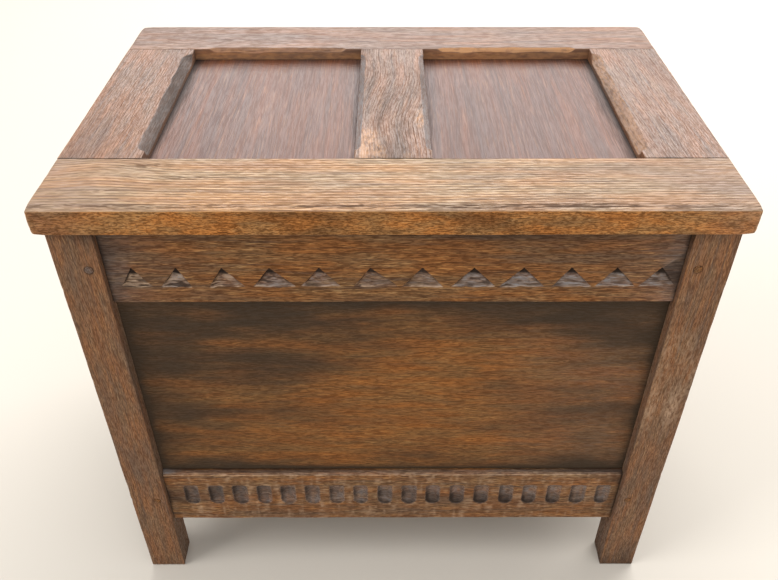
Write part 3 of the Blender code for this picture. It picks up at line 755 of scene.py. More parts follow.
class Nodes:
    """Short way to add nodes to a tree and feed their inputs."""

    def __init__(self, tree):
        self.tree = tree

    def feed(self, node, inputs):
        """Put values or other nodes' outputs on a node's inputs."""
        for key, value in dict(inputs).items():
            if isinstance(value, bpy.types.NodeSocket):
                self.tree.links.new(value, node.inputs[key])
            else:
                node.inputs[key].default_value = value

    def add(self, kind, inputs=(), **settings):
        """New node with its settings and its inputs."""
        node = self.tree.nodes.new(kind)
        for key, value in settings.items():
            setattr(node, key, value)
        self.feed(node, inputs)
        return node

    def maths(self, operation, *values):
        """Output of a Math node."""
        return self.add("ShaderNodeMath", enumerate(values), operation=operation).outputs[0]

    def total(self, start, *terms):
        """Start plus each value times its amount."""
        for value, amount in terms:
            start = self.maths("MULTIPLY_ADD", value, amount, start)
        return start

    def vector(self, operation, *values):
        """Output of a Vector Math node, the number for a length and the vector otherwise."""
        node = self.add("ShaderNodeVectorMath", enumerate(values), operation=operation)
        return node.outputs[1 if operation == "LENGTH" else 0]

    def noise(self, place, along, across, detail=2.0, roughness=0.5, output="Fac"):
        """Noise at a place that is scaled along the grain and across it."""
        scaled = self.vector("MULTIPLY", place, (along, across, across))
        inputs = {"Vector": scaled, "Scale": 1.0, "Detail": detail, "Roughness": roughness}
        return self.add("ShaderNodeTexNoise", inputs).outputs[output]

    def step(self, value, low, high, start=0.0, end=1.0):
        """Smooth step of a value between two limits."""
        inputs = {"Value": value, "From Min": low, "From Max": high, "To Min": start, "To Max": end}
        return self.add("ShaderNodeMapRange", inputs, interpolation_type="SMOOTHSTEP").outputs[0]

    def levels(self, value, stops):
        """Grey levels at their positions, eased from each to the next."""
        node = self.add("ShaderNodeValToRGB", {"Fac": value})
        node.color_ramp.interpolation = "EASE"
        while len(node.color_ramp.elements) < len(stops):
            node.color_ramp.elements.new(0.5)
        for element, (position, level) in zip(node.color_ramp.elements, stops):
            element.position = position
            element.color = (level, level, level, 1.0)
        return node.outputs["Color"]

    def mix(self, factor, first, second, blend="MIX"):
        """Mix of two colours."""
        inputs = {0: factor, 6: first, 7: second}
        return self.add("ShaderNodeMix", inputs, data_type="RGBA", blend_type=blend).outputs[2]


def new_group(name, inputs, outputs):
    """Empty shader node group with named sockets, its builder and its input sockets."""
    tree = bpy.data.node_groups.new(name, "ShaderNodeTree")
    for way, sockets in (("INPUT", inputs), ("OUTPUT", outputs)):
        for label, kind in sockets.items():
            tree.interface.new_socket(name=label, in_out=way, socket_type="NodeSocket" + kind)
    nodes = Nodes(tree)
    return tree, nodes, nodes.add("NodeGroupInput").outputs


def new_material(name):
    """Empty material, its builder and its shader."""
    material = bpy.data.materials.new(name)
    material.use_nodes = True
    return material, Nodes(material.node_tree), material.node_tree.nodes["Principled BSDF"]


FIGURE = ("Rings", "Pores", "Streaks", "Flecks")

# Dark early wood at the start of a ring and pale late wood after it, as places in the ring and levels
RING_LEVELS = ((0.0, 0.0), (0.04, 1.0), (0.16, 0.9), (0.25, 0.10), (0.90, 0.0), (1.0, 0.0))

# Tints that the wood drifts between
WARM_CAST = (1.11, 0.965, 0.78, 1.0)
COOL_CAST = (0.92, 1.015, 1.20, 1.0)


def oak_figure_group():
    """Figure of oak at a place in the log: rings round the pith, with pores, streaks and flecks.

    The rings count the distance from the pith, which strays by a slow noise, in ring widths.
    """
    name = "Oak figure"
    if name in bpy.data.node_groups:
        return bpy.data.node_groups[name]
    inputs = {"Place": "Vector", "Ring Width": "Float", "Wander": "Float"}
    tree, nodes, given = new_group(name, inputs, dict.fromkeys(FIGURE, "Float"))
    drift = nodes.noise(
        given["Place"], along=5.0, across=17.0, detail=5.0, roughness=0.52, output="Color")
    drift = nodes.vector("SUBTRACT", drift, (0.5, 0.5, 0.5))
    drift = nodes.vector("MULTIPLY", drift, (0.0, 2.0, 2.0))
    drift = nodes.add("ShaderNodeVectorMath", {0: drift, 3: given["Wander"]}, operation="SCALE")
    place = nodes.vector("ADD", given["Place"], drift.outputs[0])
    radius = nodes.vector("LENGTH", nodes.vector("MULTIPLY", place, (0.0, 1.0, 1.0)))
    count = nodes.maths("DIVIDE", radius, given["Ring Width"])
    early = nodes.levels(nodes.maths("FRACT", count), RING_LEVELS)
    each = {"W": count, "Scale": 0.43, "Detail": 1.0}
    each = nodes.add("ShaderNodeTexNoise", each, noise_dimensions="1D")
    strength = nodes.step(each.outputs["Fac"], 0.25, 0.75, 0.55, 1.3)
    breaks = nodes.step(nodes.noise(place, along=36.0, across=400.0), 0.36, 0.60, 0.42, 1.15)
    fine = nodes.step(nodes.noise(place, along=150.0, across=1400.0, detail=1.0), 0.50, 0.60, 0.0, 0.9)
    dash = nodes.step(nodes.noise(place, along=78.0, across=880.0), 0.49, 0.62)
    nodes.add("NodeGroupOutput", {
        "Rings": nodes.maths("MULTIPLY", early, nodes.maths("MULTIPLY", strength, breaks)),
        "Pores": nodes.maths("MAXIMUM", fine, dash),
        "Streaks": nodes.noise(place, along=12.0, across=330.0, detail=4.0, roughness=0.6),
        "Flecks": nodes.step(nodes.noise(place, along=84.0, across=900.0), 0.54, 0.68),
    })
    return tree


def aged_oak_group():
    """Old polish on oak: the figure's colours, smudges, wear, dirt and dust, with gloss and relief."""
    name = "Aged oak"
    if name in bpy.data.node_groups:
        return bpy.data.node_groups[name]
    inputs = {"Place": "Vector", "Age": "Vector", **dict.fromkeys(FIGURE, "Float")}
    inputs.update({label_of(key): "Color" for key in OAK_COLOURS})
    inputs.update({label_of(key): "Float" for key in OAK_AMOUNTS})
    outputs = {"Color": "Color", "Roughness": "Float", "Height": "Float"}
    tree, nodes, given = new_group(name, inputs, outputs)
    age = nodes.add("ShaderNodeSeparateXYZ", {0: given["Age"]}).outputs
    cloud = nodes.noise(given["Place"], along=6.0, across=30.0, detail=5.0, roughness=0.6)
    spots = nodes.noise(given["Place"], along=120.0, across=330.0, detail=3.0, roughness=0.6)

    # Wood: rings, flecks, streaks, smudges, pores and a drifting tint
    rings = nodes.maths("MULTIPLY", given["Rings"], given["Ring Contrast"])
    base = nodes.mix(rings, given["Light"], given["Dark"])
    flecks = nodes.maths("MULTIPLY", given["Flecks"], given["Fleck Amount"])
    base = nodes.mix(flecks, base, given["Fleck"])
    shade = nodes.step(given["Streaks"], 0.28, 0.72, -0.34, 0.30)
    shade = nodes.maths("MULTIPLY_ADD", shade, given["Streak Contrast"], 1.0)
    shade = nodes.add("ShaderNodeCombineColor", {0: shade, 1: shade, 2: shade}).outputs[0]
    base = nodes.mix(1.0, base, shade, "MULTIPLY")
    dark_streaks = nodes.step(given["Streaks"], 0.48, 0.30)
    smudge = nodes.maths("MAXIMUM", nodes.step(cloud, 0.46, 0.74), dark_streaks)
    base = nodes.mix(nodes.maths("MULTIPLY", smudge, given["Stain Amount"]), base, given["Stain"])
    off_rings = nodes.step(given["Rings"], 0.10, 0.60, -0.55, 0.0)
    contrast = nodes.maths("MINIMUM", given["Ring Contrast"], 1.0)
    off_rings = nodes.maths("MULTIPLY_ADD", off_rings, contrast, 1.0)
    pores = nodes.maths("MULTIPLY", given["Pores"], given["Pore Amount"])
    pores = nodes.maths("MULTIPLY", pores, off_rings)
    base = nodes.mix(pores, base, given["Pore"])
    cast = nodes.step(nodes.noise(given["Place"], along=15.0, across=85.0, detail=3.0), 0.35, 0.65)
    base = nodes.mix(1.0, base, nodes.mix(cast, WARM_CAST, COOL_CAST), "MULTIPLY")

    # Age: rubbed places with painted light, dust with painted sheen, and dirt with painted shade, the last
    # two broken up by the pores
    rub_and_painted_light = nodes.maths("MULTIPLY", age["X"], nodes.step(spots, 0.30, 0.66, 0.55, 1.35))
    rub_and_painted_light = nodes.step(rub_and_painted_light, 0.15, 0.85)
    base = nodes.mix(rub_and_painted_light, base, given["Worn"])
    broken = nodes.maths("SUBTRACT", given["Pores"], 0.35)
    dust = nodes.maths("MULTIPLY", age["Z"], nodes.step(spots, 0.25, 0.7, 0.55, 1.1))
    dust = nodes.maths("MULTIPLY", dust, nodes.maths("MULTIPLY_ADD", broken, -0.6, 1.0))
    base = nodes.mix(dust, base, given["Dust"])
    grime_and_painted_shade = nodes.maths("ADD", age["Y"], nodes.step(cloud, 0.3, 0.7, -0.22, 0.22))
    grime_and_painted_shade = nodes.maths("MULTIPLY_ADD", broken, given["Dirt Grain"], grime_and_painted_shade)
    grime_and_painted_shade = nodes.maths("MULTIPLY", nodes.step(grime_and_painted_shade, 0.12, 0.95), nodes.step(age["Y"], 0.0, 0.2))
    base = nodes.mix(grime_and_painted_shade, base, given["Dirt"])

    gloss = nodes.total(
        0.36, (pores, 0.62), (rings, 0.60), (grime_and_painted_shade, 0.22), (dust, 0.22), (rub_and_painted_light, -0.06), (cloud, 0.10))
    relief = nodes.total(0.5, (given["Streaks"], 0.30), (pores, -0.8), (given["Rings"], -0.12))
    nodes.add("NodeGroupOutput", {"Color": base, "Roughness": gloss, "Height": relief})
    return tree


def oak_material(name, finish):
    """Aged oak: the log's figure under old polish, from the timber's own log_place and age."""
    if name in bpy.data.materials:
        return bpy.data.materials[name]
    material, nodes, shader = new_material(name)
    place = nodes.add("ShaderNodeAttribute", attribute_name="log_place").outputs["Vector"]
    age = nodes.add("ShaderNodeAttribute", attribute_name="age").outputs["Vector"]
    grown = {"Place": place, "Ring Width": finish.ring_width, "Wander": finish.wander}
    figure = nodes.add("ShaderNodeGroup", grown, node_tree=oak_figure_group())
    inputs = {"Place": place, "Age": age}
    inputs.update({label: figure.outputs[label] for label in FIGURE})
    inputs.update({label_of(key): (*getattr(finish, key), 1.0) for key in OAK_COLOURS})
    inputs.update({label_of(key): getattr(finish, key) for key in OAK_AMOUNTS})
    aged = nodes.add("ShaderNodeGroup", inputs, node_tree=aged_oak_group()).outputs
    bump = nodes.add("ShaderNodeBump", {"Strength": 0.45, "Distance": 0.0004, "Height": aged["Height"]})
    nodes.feed(shader, {
        "Base Color": aged["Color"], "Roughness": aged["Roughness"], "Normal": bump.outputs["Normal"],
        "Specular IOR Level": finish.gloss})
    return material


def brass_material(name, bright, dull):
    """Dull brass: bright metal under tarnish that gathers in soft patches, by Object coordinates."""
    if name in bpy.data.materials:
        return bpy.data.materials[name]
    material, nodes, shader = new_material(name)
    place = nodes.add("ShaderNodeTexCoord").outputs["Object"]
    patches = nodes.noise(place, along=70.0, across=70.0, detail=6.0, roughness=0.70)
    scratches = nodes.noise(place, along=180.0, across=1500.0)
    tint = nodes.mix(nodes.step(patches, 0.30, 0.66), (*bright, 1.0), (*dull, 1.0))
    gloss = nodes.step(nodes.maths("MULTIPLY_ADD", scratches, 0.5, patches), 0.4, 1.1, 0.28, 0.55)
    bump = nodes.add("ShaderNodeBump", {"Strength": 0.25, "Distance": 0.0001, "Height": scratches})
    nodes.feed(shader, {
        "Base Color": tint, "Roughness": gloss, "Normal": bump.outputs["Normal"], "Metallic": 1.0})
    return material


# Places read from the frame


def corners(node):
    """Lowest and highest corner of a node as arrays."""
    low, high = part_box(node)
    return np.array(low), np.array(high)


def tenon_box(node, thin, tall, joints):
    """Corners of a timber's tenons: its length, their thickness, and its height less the shoulders."""
    low, high = corners(node)
    middle = (low[thin] + high[thin]) / 2
    low[thin] = middle - joints.tenon_thickness / 2
    high[thin] = middle + joints.tenon_thickness / 2
    low[tall] = low[tall] + joints.tenon_shoulder
    high[tall] = high[tall] - joints.tenon_shoulder
    return low, high


def wall_axes(wall):
    """Axis along a wall, and the axis through it."""
    return (0, 1) if wall in FRONT_BACK else (1, 0)


def outer_side(wall):
    """Side of the box that a wall is on."""
    return {"front": "-Y", "back": "+Y", "left": "-X", "right": "+X"}[wall]


def wall_posts(wall):
    """Posts at the low and the high end of a wall."""
    if wall in FRONT_BACK:
        return wall + "_left_post", wall + "_right_post"
    return "front_" + wall + "_post", "back_" + wall + "_post"


# Posts and rails


class SLIPPERBOX_OT_posts(Operator):
    """Make the four corner posts, mortised and grooved, with worn arrises and feet"""

    bl_idname = "slipper_box.posts"
    bl_label = "Posts"

    def execute(self, context):
        for front_back, left_right in product(FRONT_BACK, LEFT_RIGHT):
            self.post(context.scene.slipper_box, front_back, left_right)
        return {"FINISHED"}

    def post(self, settings, front_back, left_right):
        """One post: mortises and a groove on both inner sides, and two peg holes on its face."""
        wear, joints = settings.wear, settings.joints
        node = front_back + "_" + left_right + "_post"
        face = outer_side(front_back)
        inner_x = opposite(outer_side(left_right))
        inner_y = opposite(face)
        post = Timber(node, *corners(node), grain=2, ease=wear.post_arris)
        post.pith = (0.055 if left_right == "left" else -0.055, 0.035)
        post.figure_scale = (0.75, 0.85)
        for wall, facing in ((front_back, inner_x), (left_right, inner_y)):
            through = wall_axes(wall)[1]
            for level in LEVELS:
                post.house(facing, *tenon_box(wall + "_" + level + "_rail", through, 2, joints))
            post.house(facing, *corners(wall + "_panel"))
        for level in LEVELS:
            low, high = corners(front_back + "_" + left_right + "_" + level + "_peg")
            centre = (low + high) / 2
            post.bore(face, centre[[0, 2]], joints.peg_radius + FIT, joints.peg_hole_depth)
            post.stain(face, self.peg_ring(centre, joints.peg_radius))
        for side in SIDES[:4]:
            post.arris((side, "-Z"), wear.foot_arris, exposure=0.5)
            post.arris((side, "+Z"), wear.shoulder, exposure=0.1)
        post.arris((face, inner_x), wear.arris, exposure=0.10)
        post.stain(face, self.smudge(post, inner_x))
        if left_right == "right":
            post.stain(face, self.rubbed(post))
        # Painted shadow under the lid, fading down from the top of the post
        post.soil("+Z", reach=0.012, amount=0.65)
        post.soil("-Z", reach=0.030, amount=0.50)
        post.dusts = [(inner_x, 0.25), (inner_y, 0.25), (face, 0.13)]
        post.lay(settings, "carcass", "oak_carcass", oak_material("post_oak", settings.post))

    def peg_ring(self, centre, radius):
        """Ring of dirt round a peg."""
        def paint(rest, points):
            away = np.hypot(points[:, 0] - centre[0], points[:, 2] - centre[2])
            return {DIRT_AND_PAINTED_SHADE: 0.50 * bell(away - radius - 0.0004, 0.0012)}

        return paint

    def smudge(self, post, inner):
        """Grey, greasy patch on the post's face, low down beside the rail."""
        height = 0.120

        def paint(rest, points):
            patch = bell(post.inside(rest, inner), 0.013) * bell(rest[:, 2] - height, 0.055)
            patch = patch * (0.55 + 0.45 * post.noise(rest, (0.012, 1.0, 0.020), "post smudge"))
            return {DIRT_AND_PAINTED_SHADE: 0.52 * patch, DUST_AND_PAINTED_SHEEN: 0.30 * patch}

        return paint

    def rubbed(self, post):
        """Rubbed, paler stretch at half height on the post's face."""
        height = 0.290

        def paint(rest, points):
            stretch = bell(rest[:, 2] - height, 0.090)
            stretch = stretch * (0.7 + 0.5 * post.noise(rest, (0.010, 1.0, 0.050), "rubbed post"))
            return {WEAR_AND_PAINTED_LIGHT: 0.42 * stretch, DUST_AND_PAINTED_SHEEN: 0.20 * stretch}

        return paint


def rail_between(settings, wall, level):
    """Rail of a wall between its posts, with a tenon at each end and a groove for the panel."""
    wear = settings.wear
    node = wall + "_" + level + "_rail"
    along, through = wall_axes(wall)
    first, last = wall_posts(wall)
    low, high = corners(node)
    low[along] = corners(first)[1][along] + FIT
    high[along] = corners(last)[0][along] - FIT
    rail = Timber(node, low, high, grain=along, ease=wear.arris)
    rail.tenons(along, *tenon_box(node, through, 2, settings.joints))
    rail.house("-Z" if level == "top" else "+Z", *corners(wall + "_panel"), whole=(along,))
    for end in ends_of(along):
        for side in SIDES:
            if side not in ends_of(along):
                rail.arris((end, side), wear.shoulder, exposure=0.05)
        rail.soil(end, reach=0.007, amount=0.75)
        rail.soil(end, reach=0.045, amount=0.48)
    rail.pith = (0.01, -0.05) if wall in FRONT_BACK else (-0.05, 0.01)
    # Painted shadow under the lid, fading down from the top of each top rail
    if level == "top":
        rail.soil("+Z", reach=0.011, amount=0.75)
    inner = opposite(outer_side(wall))
    for side in ("-Z", "+Z"):
        rail.arris((inner, side), wear.arris, exposure=0.05)
    rail.dusts = [(inner, 0.6)]
    return rail


class SLIPPERBOX_OT_rails(Operator):
    """Make the six plain rails of the back and the sides"""

    bl_idname = "slipper_box.rails"
    bl_label = "Plain rails"

    def execute(self, context):
        settings = context.scene.slipper_box
        for wall, level in product(("back", "left", "right"), LEVELS):
            rail = rail_between(settings, wall, level)
            if (wall, level) == ("back", "top"):
                self.let_in_hinges(rail)
            rail.lay(settings, "carcass", "oak_carcass", oak_material("carcass_oak", settings.carcass))
        return {"FINISHED"}

    def let_in_hinges(self, rail):
        """Pockets in the back of the rail for the hinge leaves."""
        for side in LEFT_RIGHT:
            low, high = corners(side + "_hinge_carcass_leaf")
            spans = [(low[0] - FIT, high[0] + FIT), (low[2] - FIT, rail.high[2])]
            rail.sink("+Y", spans, rail.high[1] - low[1] + FIT)


class ChipRow:
    """Row of three-cornered chips on the front of a rail.

    Grid columns fan in from each chip's base line to its point, so its edges lie on them. Across a chip
    the floor drops down a steep left facet, then climbs to a short wall at the right edge. Upwards it drops
    behind a short lip at the base line, then falls steadily to the full depth at the point. Chip centres
    stand at even steps, drawn apart by one sine wave over the row.
    """

    # Columns across a chip, from its left edge at -1 to its right edge at 1, and shares of the depth there
    ACROSS = np.array((
        -1.0, -0.95, -0.86, -0.74, -0.62, -0.5, -0.35, -0.2, -0.05,
        0.1, 0.25, 0.4, 0.55, 0.7, 0.82, 0.92, 1.0))
    DIPS = np.interp(ACROSS, (-1.0, -0.74, 0.92, 1.0), (0.0, 1.0, 0.55, 0.0))

    # Rows up a chip, and gaps to the next rows below its base line and above its point
    ROWS = 37
    GAPS_BELOW = np.array((0.0004,))
    GAPS_ABOVE = np.array((0.0004, 0.002))

    # Height above the points over which the columns stand upright again
    RELAX = 0.014

    # How far a chip's edges, its facets and its base line stray
    RAGGED = 0.00050
    FACETED = 0.00060
    TORN = 0.0008

    def __init__(self, rail, carving):
        self.rail = rail
        self.carving = carving
        widths = np.array(carving.chip_widths)
        even = (np.arange(len(widths)) - (len(widths) - 1) / 2) * carving.chip_pitch
        middle = (rail.low[0] + rail.high[0]) / 2
        apart = carving.chip_bulge * np.sin(math.pi * even / even[-1])
        centres = middle + carving.chip_shift + even + apart
        self.bases = centres + np.array(carving.chip_leans)
        self.base = rail.low[2] + carving.chip_rise
        self.point = self.base + carving.chip_height
        at_base = (self.bases[:, None] + self.ACROSS * widths[:, None] / 2).ravel()
        at_point = (centres[:, None] + self.ACROSS * carving.chip_blunt).ravel()
        self.columns = np.concatenate((rail.low[:1], at_base, rail.high[:1]))
        self.shift = np.concatenate(((0.0,), at_point - at_base, (0.0,)))
        self.dip = np.concatenate(((0.0,), np.tile(self.DIPS, len(widths)), (0.0,)))
        self.place = np.concatenate(((-1.0,), np.tile(self.ACROSS, len(widths)), (1.0,)))
        rail.marks[0].extend(at_base)
        rail.marks[2].extend(np.linspace(self.base, self.point, self.ROWS))
        rail.marks[2].extend(self.base - self.GAPS_BELOW)
        rail.marks[2].extend(self.point + self.GAPS_ABOVE)
        rail.shapes.append(self.cut)
        rail.stains.append(self.soil)

    def hollow(self, rest):
        """Share of the full depth, rise up the chip, place across it, and whether it is in the row."""
        x, z = rest[:, 0], rest[:, 2]
        rise = ramp(z, self.base, self.carving.chip_height)
        band = (z > self.base - SLIVER) & (z < self.point + SLIVER)
        drop = 0.45 * ramp(rise, 0.0, 0.10) + 0.55 * rise
        deep = np.interp(x, self.columns, self.dip) * drop * band
        return deep, rise, np.interp(x, self.columns, self.place), band

    def cut(self, points, rest, sides):
        """Fan the columns in, tear the base line and sink the floor, with uneven edges and facets."""
        on = sides["-Y"].ravel()
        rest = rest[on]
        deep, rise, _, band = self.hollow(rest)
        z = rest[:, 2]
        fan = np.where(z <= self.point, rise, np.clip(1.0 - (z - self.point) / self.RELAX, 0.0, 1.0))
        ragged = self.RAGGED * self.rail.noise(rest, 0.004, "ragged chip") * band
        facets = self.FACETED * self.rail.noise(rest, (0.007, 1.0, 0.0026), "chip facet")
        torn_line = self.TORN * self.rail.noise(rest * (1.0, 0.0, 0.0), 0.005, "chip base")
        points[on, 0] += np.interp(rest[:, 0], self.columns, self.shift) * fan + ragged
        points[on, 2] += torn_line * bell(z - self.base, 0.004)
        points[on, 1] += np.maximum(self.carving.chip_depth * deep + facets * np.sqrt(deep), 0.0)

    def soil(self, points, rest, sides, age):
        """Dark facets, walls, points and torn fibres, a dry pale floor, and a bare lip at the base."""
        on = sides["-Y"].ravel()
        rest = rest[on]
        deep, rise, across, band = self.hollow(rest)
        cut = ramp(deep, 0.0, 0.10)
        above_lip = ramp(rise, 0.08, 0.25)
        facet = ramp(-across, 0.60, 0.20) * cut
        wall = ramp(across, 0.72, 0.12) * ramp(rise, 0.0, 0.3)
        runs_out = ramp(1.0 - across, 0.0, 0.08)
        lip = bell(rise, 0.07) * band
        fibres = self.rail.speckle(rest, (0.008, 1.0, 0.0013), "chip fibre")
        torn = self.rail.speckle(rest, (0.006, 1.0, 0.0020), "torn chip")
        dashes = ramp(fibres, 0.40, 0.25)
        paleness = np.interp(rest[:, 0], self.bases, self.carving.chip_paleness)
        from_left = ramp(rest[:, 0], self.rail.low[0], 0.20)

        # Painted shade on the left facet, towards the point and on the right wall; dirt in torn fibres and
        # gaps, and over the chips that are less pale
        soot = np.max((
            0.80 * facet * above_lip,
            cut * np.maximum(rise - 0.50, 0.0) / 0.20,
            0.75 * wall * cut,
            0.40 * cut * ramp(torn, 0.53, 0.20),
            0.62 * cut * ramp(0.46 - fibres, 0.0, 0.16),
            0.85 * cut * np.clip(0.85 - paleness, 0.0, 1.0),
        ), axis=0)
        pale = paleness * (0.55 + 0.50 * from_left) * (0.45 + np.clip(fibres - 0.36, 0.0, 0.5))
        pale = pale * (1.0 - 0.25 * np.clip(across, 0.0, 1.0))
        dry = cut * pale * runs_out * (1.0 - facet * above_lip)
        dusty_ends = 0.45 * fade(self.rail.from_ends(rest), 0.020)
        bare = 1.15 * (1.0 - from_left) * cut * runs_out * fibres
        age[on, DIRT_AND_PAINTED_SHADE] = np.maximum(age[on, DIRT_AND_PAINTED_SHADE], soot * (1.0 - 0.8 * lip * dashes))
        age[on, DUST_AND_PAINTED_SHEEN] = np.max((age[on, DUST_AND_PAINTED_SHEEN], dusty_ends, dry), axis=0)
        # Painted highlight in dashes along the lip at the base, and rubbed floors on the chips to the left
        age[on, WEAR_AND_PAINTED_LIGHT] = np.where(cut > 0.5, np.maximum(0.95 * lip * dashes, bare), age[on, WEAR_AND_PAINTED_LIGHT])


class SLIPPERBOX_OT_chip_rail(Operator):
    """Make the front top rail with its row of three-cornered chips"""

    bl_idname = "slipper_box.chip_rail"
    bl_label = "Chip-carved rail"

    def execute(self, context):
        settings = context.scene.slipper_box
        rail = rail_between(settings, "front", "top")
        ChipRow(rail, settings.carving)
        rail.arris(("-Y", "-Z"), settings.wear.chip_rail_arris, exposure=0.22)
        rail.lay(settings, "carcass", "oak_carcass", oak_material("carcass_oak", settings.carcass))
        return {"FINISHED"}


class FluteRow:
    """Row of gouge flutes on the front of a rail.

    A flute is a hollow of parabolic section that stops square at the top and dies away round at the foot.
    Its place, width and depth stray a little from one flute to the next.
    """

    # Columns across a flute as shares of half its width, rows up it, and gaps to the next rows
    ACROSS = np.linspace(-1.1, 1.1, 23)
    ROWS = 44
    GAP_BELOW = 0.001
    GAPS_ABOVE = np.array((0.0003, 0.0015))

    # How far places stray, and widths and depths as shares of themselves, and the gouge's chatter
    PLACE_STRAY = 0.0006
    WIDTH_STRAY = 0.06
    DEPTH_STRAY = 0.18
    CHATTER = 0.00020

    def __init__(self, rail, carving):
        self.rail = rail
        self.carving = carving
        count = np.arange(carving.flute_count)
        stray = rail.noise(count[:, None] * (7.3, 0.0, 0.0), 1.0, "arris")
        middle = (rail.low[0] + rail.high[0]) / 2 + carving.flute_shift
        even = (count - (carving.flute_count - 1) / 2) * carving.flute_pitch
        self.centres = middle + self.PLACE_STRAY * stray + even
        self.half = carving.flute_width / 2 * (1.0 + self.WIDTH_STRAY * np.roll(stray, 3))
        self.depth = carving.flute_depth * (1.0 + self.DEPTH_STRAY * np.roll(stray, 7))
        foot = rail.low[2] + carving.flute_rise
        self.top = foot + carving.flute_height
        self.round_from = foot + carving.flute_width / 2
        columns = self.centres[:, None] + self.ACROSS * self.half[:, None]
        rail.marks[0].extend(columns.ravel())
        rail.marks[2].extend(np.linspace(foot - self.GAP_BELOW, self.top, self.ROWS))
        rail.marks[2].extend(self.top + self.GAPS_ABOVE)
        rail.shapes.append(self.cut)
        rail.stain("-Y", self.paint)
        rail.stains.append(self.dusty_corner)

    def hollow(self, rest):
        """Share of the full depth, nearest flute, place across it and drop into its round foot."""
        nearest = np.abs(rest[:, :1] - self.centres[None, :]).argmin(axis=1)
        across = (rest[:, 0] - self.centres[nearest]) / self.half[nearest]
        drop = np.clip((self.round_from - rest[:, 2]) / self.half[nearest], 0.0, None)
        full = np.maximum(1.0 - across ** 2 - drop ** 2, 0.0)
        return full * ramp(self.top - rest[:, 2], 0.0, self.carving.flute_top), nearest, across, drop

    def cut(self, points, rest, sides):
        """Sink the flutes, with the chatter of the gouge on their floors."""
        on = sides["-Y"].ravel()
        full, nearest, _, _ = self.hollow(rest[on])
        chatter = self.CHATTER * self.rail.noise(rest[on], (0.003, 1.0, 0.006), "chatter")
        points[on, 1] += np.maximum(full * self.depth[nearest] + chatter * np.sqrt(full), 0.0)

    def paint(self, rest, points):
        """Dirt and dust in the flutes, most at their left and foot, and wear between and on the sill."""
        full, _, across, drop = self.hollow(rest)
        inside = ramp(full, 0.0, 0.30)
        fibres = self.rail.speckle(rest, (0.0030, 1.0, 0.009), "flute fibre")
        # Painted shade on the left side and the round foot of each flute
        edge = np.clip(ramp(-across, 0.25, 0.5) + ramp(drop, 0.25, 0.5), 0.0, 1.0)
        # Painted highlight along the lower arris of the sill's chamfer
        sill_highlight = 0.62 * bell(rest[:, 2] - (self.rail.high[2] - self.carving.sill_chamfer), 0.0006)
        return {
            # Wear between the flutes that also lightens the face as painted light, and the painted
            # highlight on the sill
            WEAR_AND_PAINTED_LIGHT: np.maximum(0.40 * fibres * (1.0 - inside), sill_highlight),
            DIRT_AND_PAINTED_SHADE: inside * (0.34 + 0.28 * edge + 0.16 * fibres),
            DUST_AND_PAINTED_SHEEN: np.maximum(inside * (0.30 + 0.40 * fibres), 0.03 + 0.06 * fibres),
        }

    def dusty_corner(self, points, rest, sides, age):
        """Dust on the left end of the sill."""
        sill = rest[:, 2] > self.rail.high[2] - 0.5 * self.carving.sill_chamfer
        age[:, DUST_AND_PAINTED_SHEEN] = np.maximum(age[:, DUST_AND_PAINTED_SHEEN], 0.95 * bell(rest[:, 0] - self.rail.low[0], 0.014) * sill)


class SLIPPERBOX_OT_flute_rail(Operator):
    """Make the front bottom rail with its row of gouge flutes and its chamfered top"""

    bl_idname = "slipper_box.flute_rail"
    bl_label = "Fluted rail"

    def execute(self, context):
        settings = context.scene.slipper_box
        carving = settings.carving
        rail = rail_between(settings, "front", "bottom")
        past_ends = (rail.low[0] - 1.0, rail.high[0] + 1.0)
        legs = (carving.sill_chamfer, carving.sill_chamfer)
        rail.chamfer(("-Y", "+Z"), past_ends, legs, scoop=0.001, waver=0.10, soot=0.10, dry=0.24)
        FluteRow(rail, carving)
        rail.arris(("-Y", "-Z"), settings.wear.flute_rail_arris, exposure=0.35)
        rail.soil("+Z", reach=0.0012, amount=0.60)
        rail.lay(settings, "carcass", "oak_carcass", oak_material("carcass_oak", settings.carcass))
        return {"FINISHED"}


# Panels, bottom and pegs


# Depths of the grid lines inside the borders of a panel
BORDER_LINES = np.array((0.001, 0.003, 0.006, 0.010, 0.016, 0.024, 0.036))


def mark_borders(panel, axes, tuck, lines):
    """Keep grid lines inside a panel's borders, counted from where its edge is tucked into the frame."""
    for axis in axes:
        panel.marks[axis].extend(panel.low[axis] + tuck + lines)
        panel.marks[axis].extend(panel.high[axis] - tuck - lines)


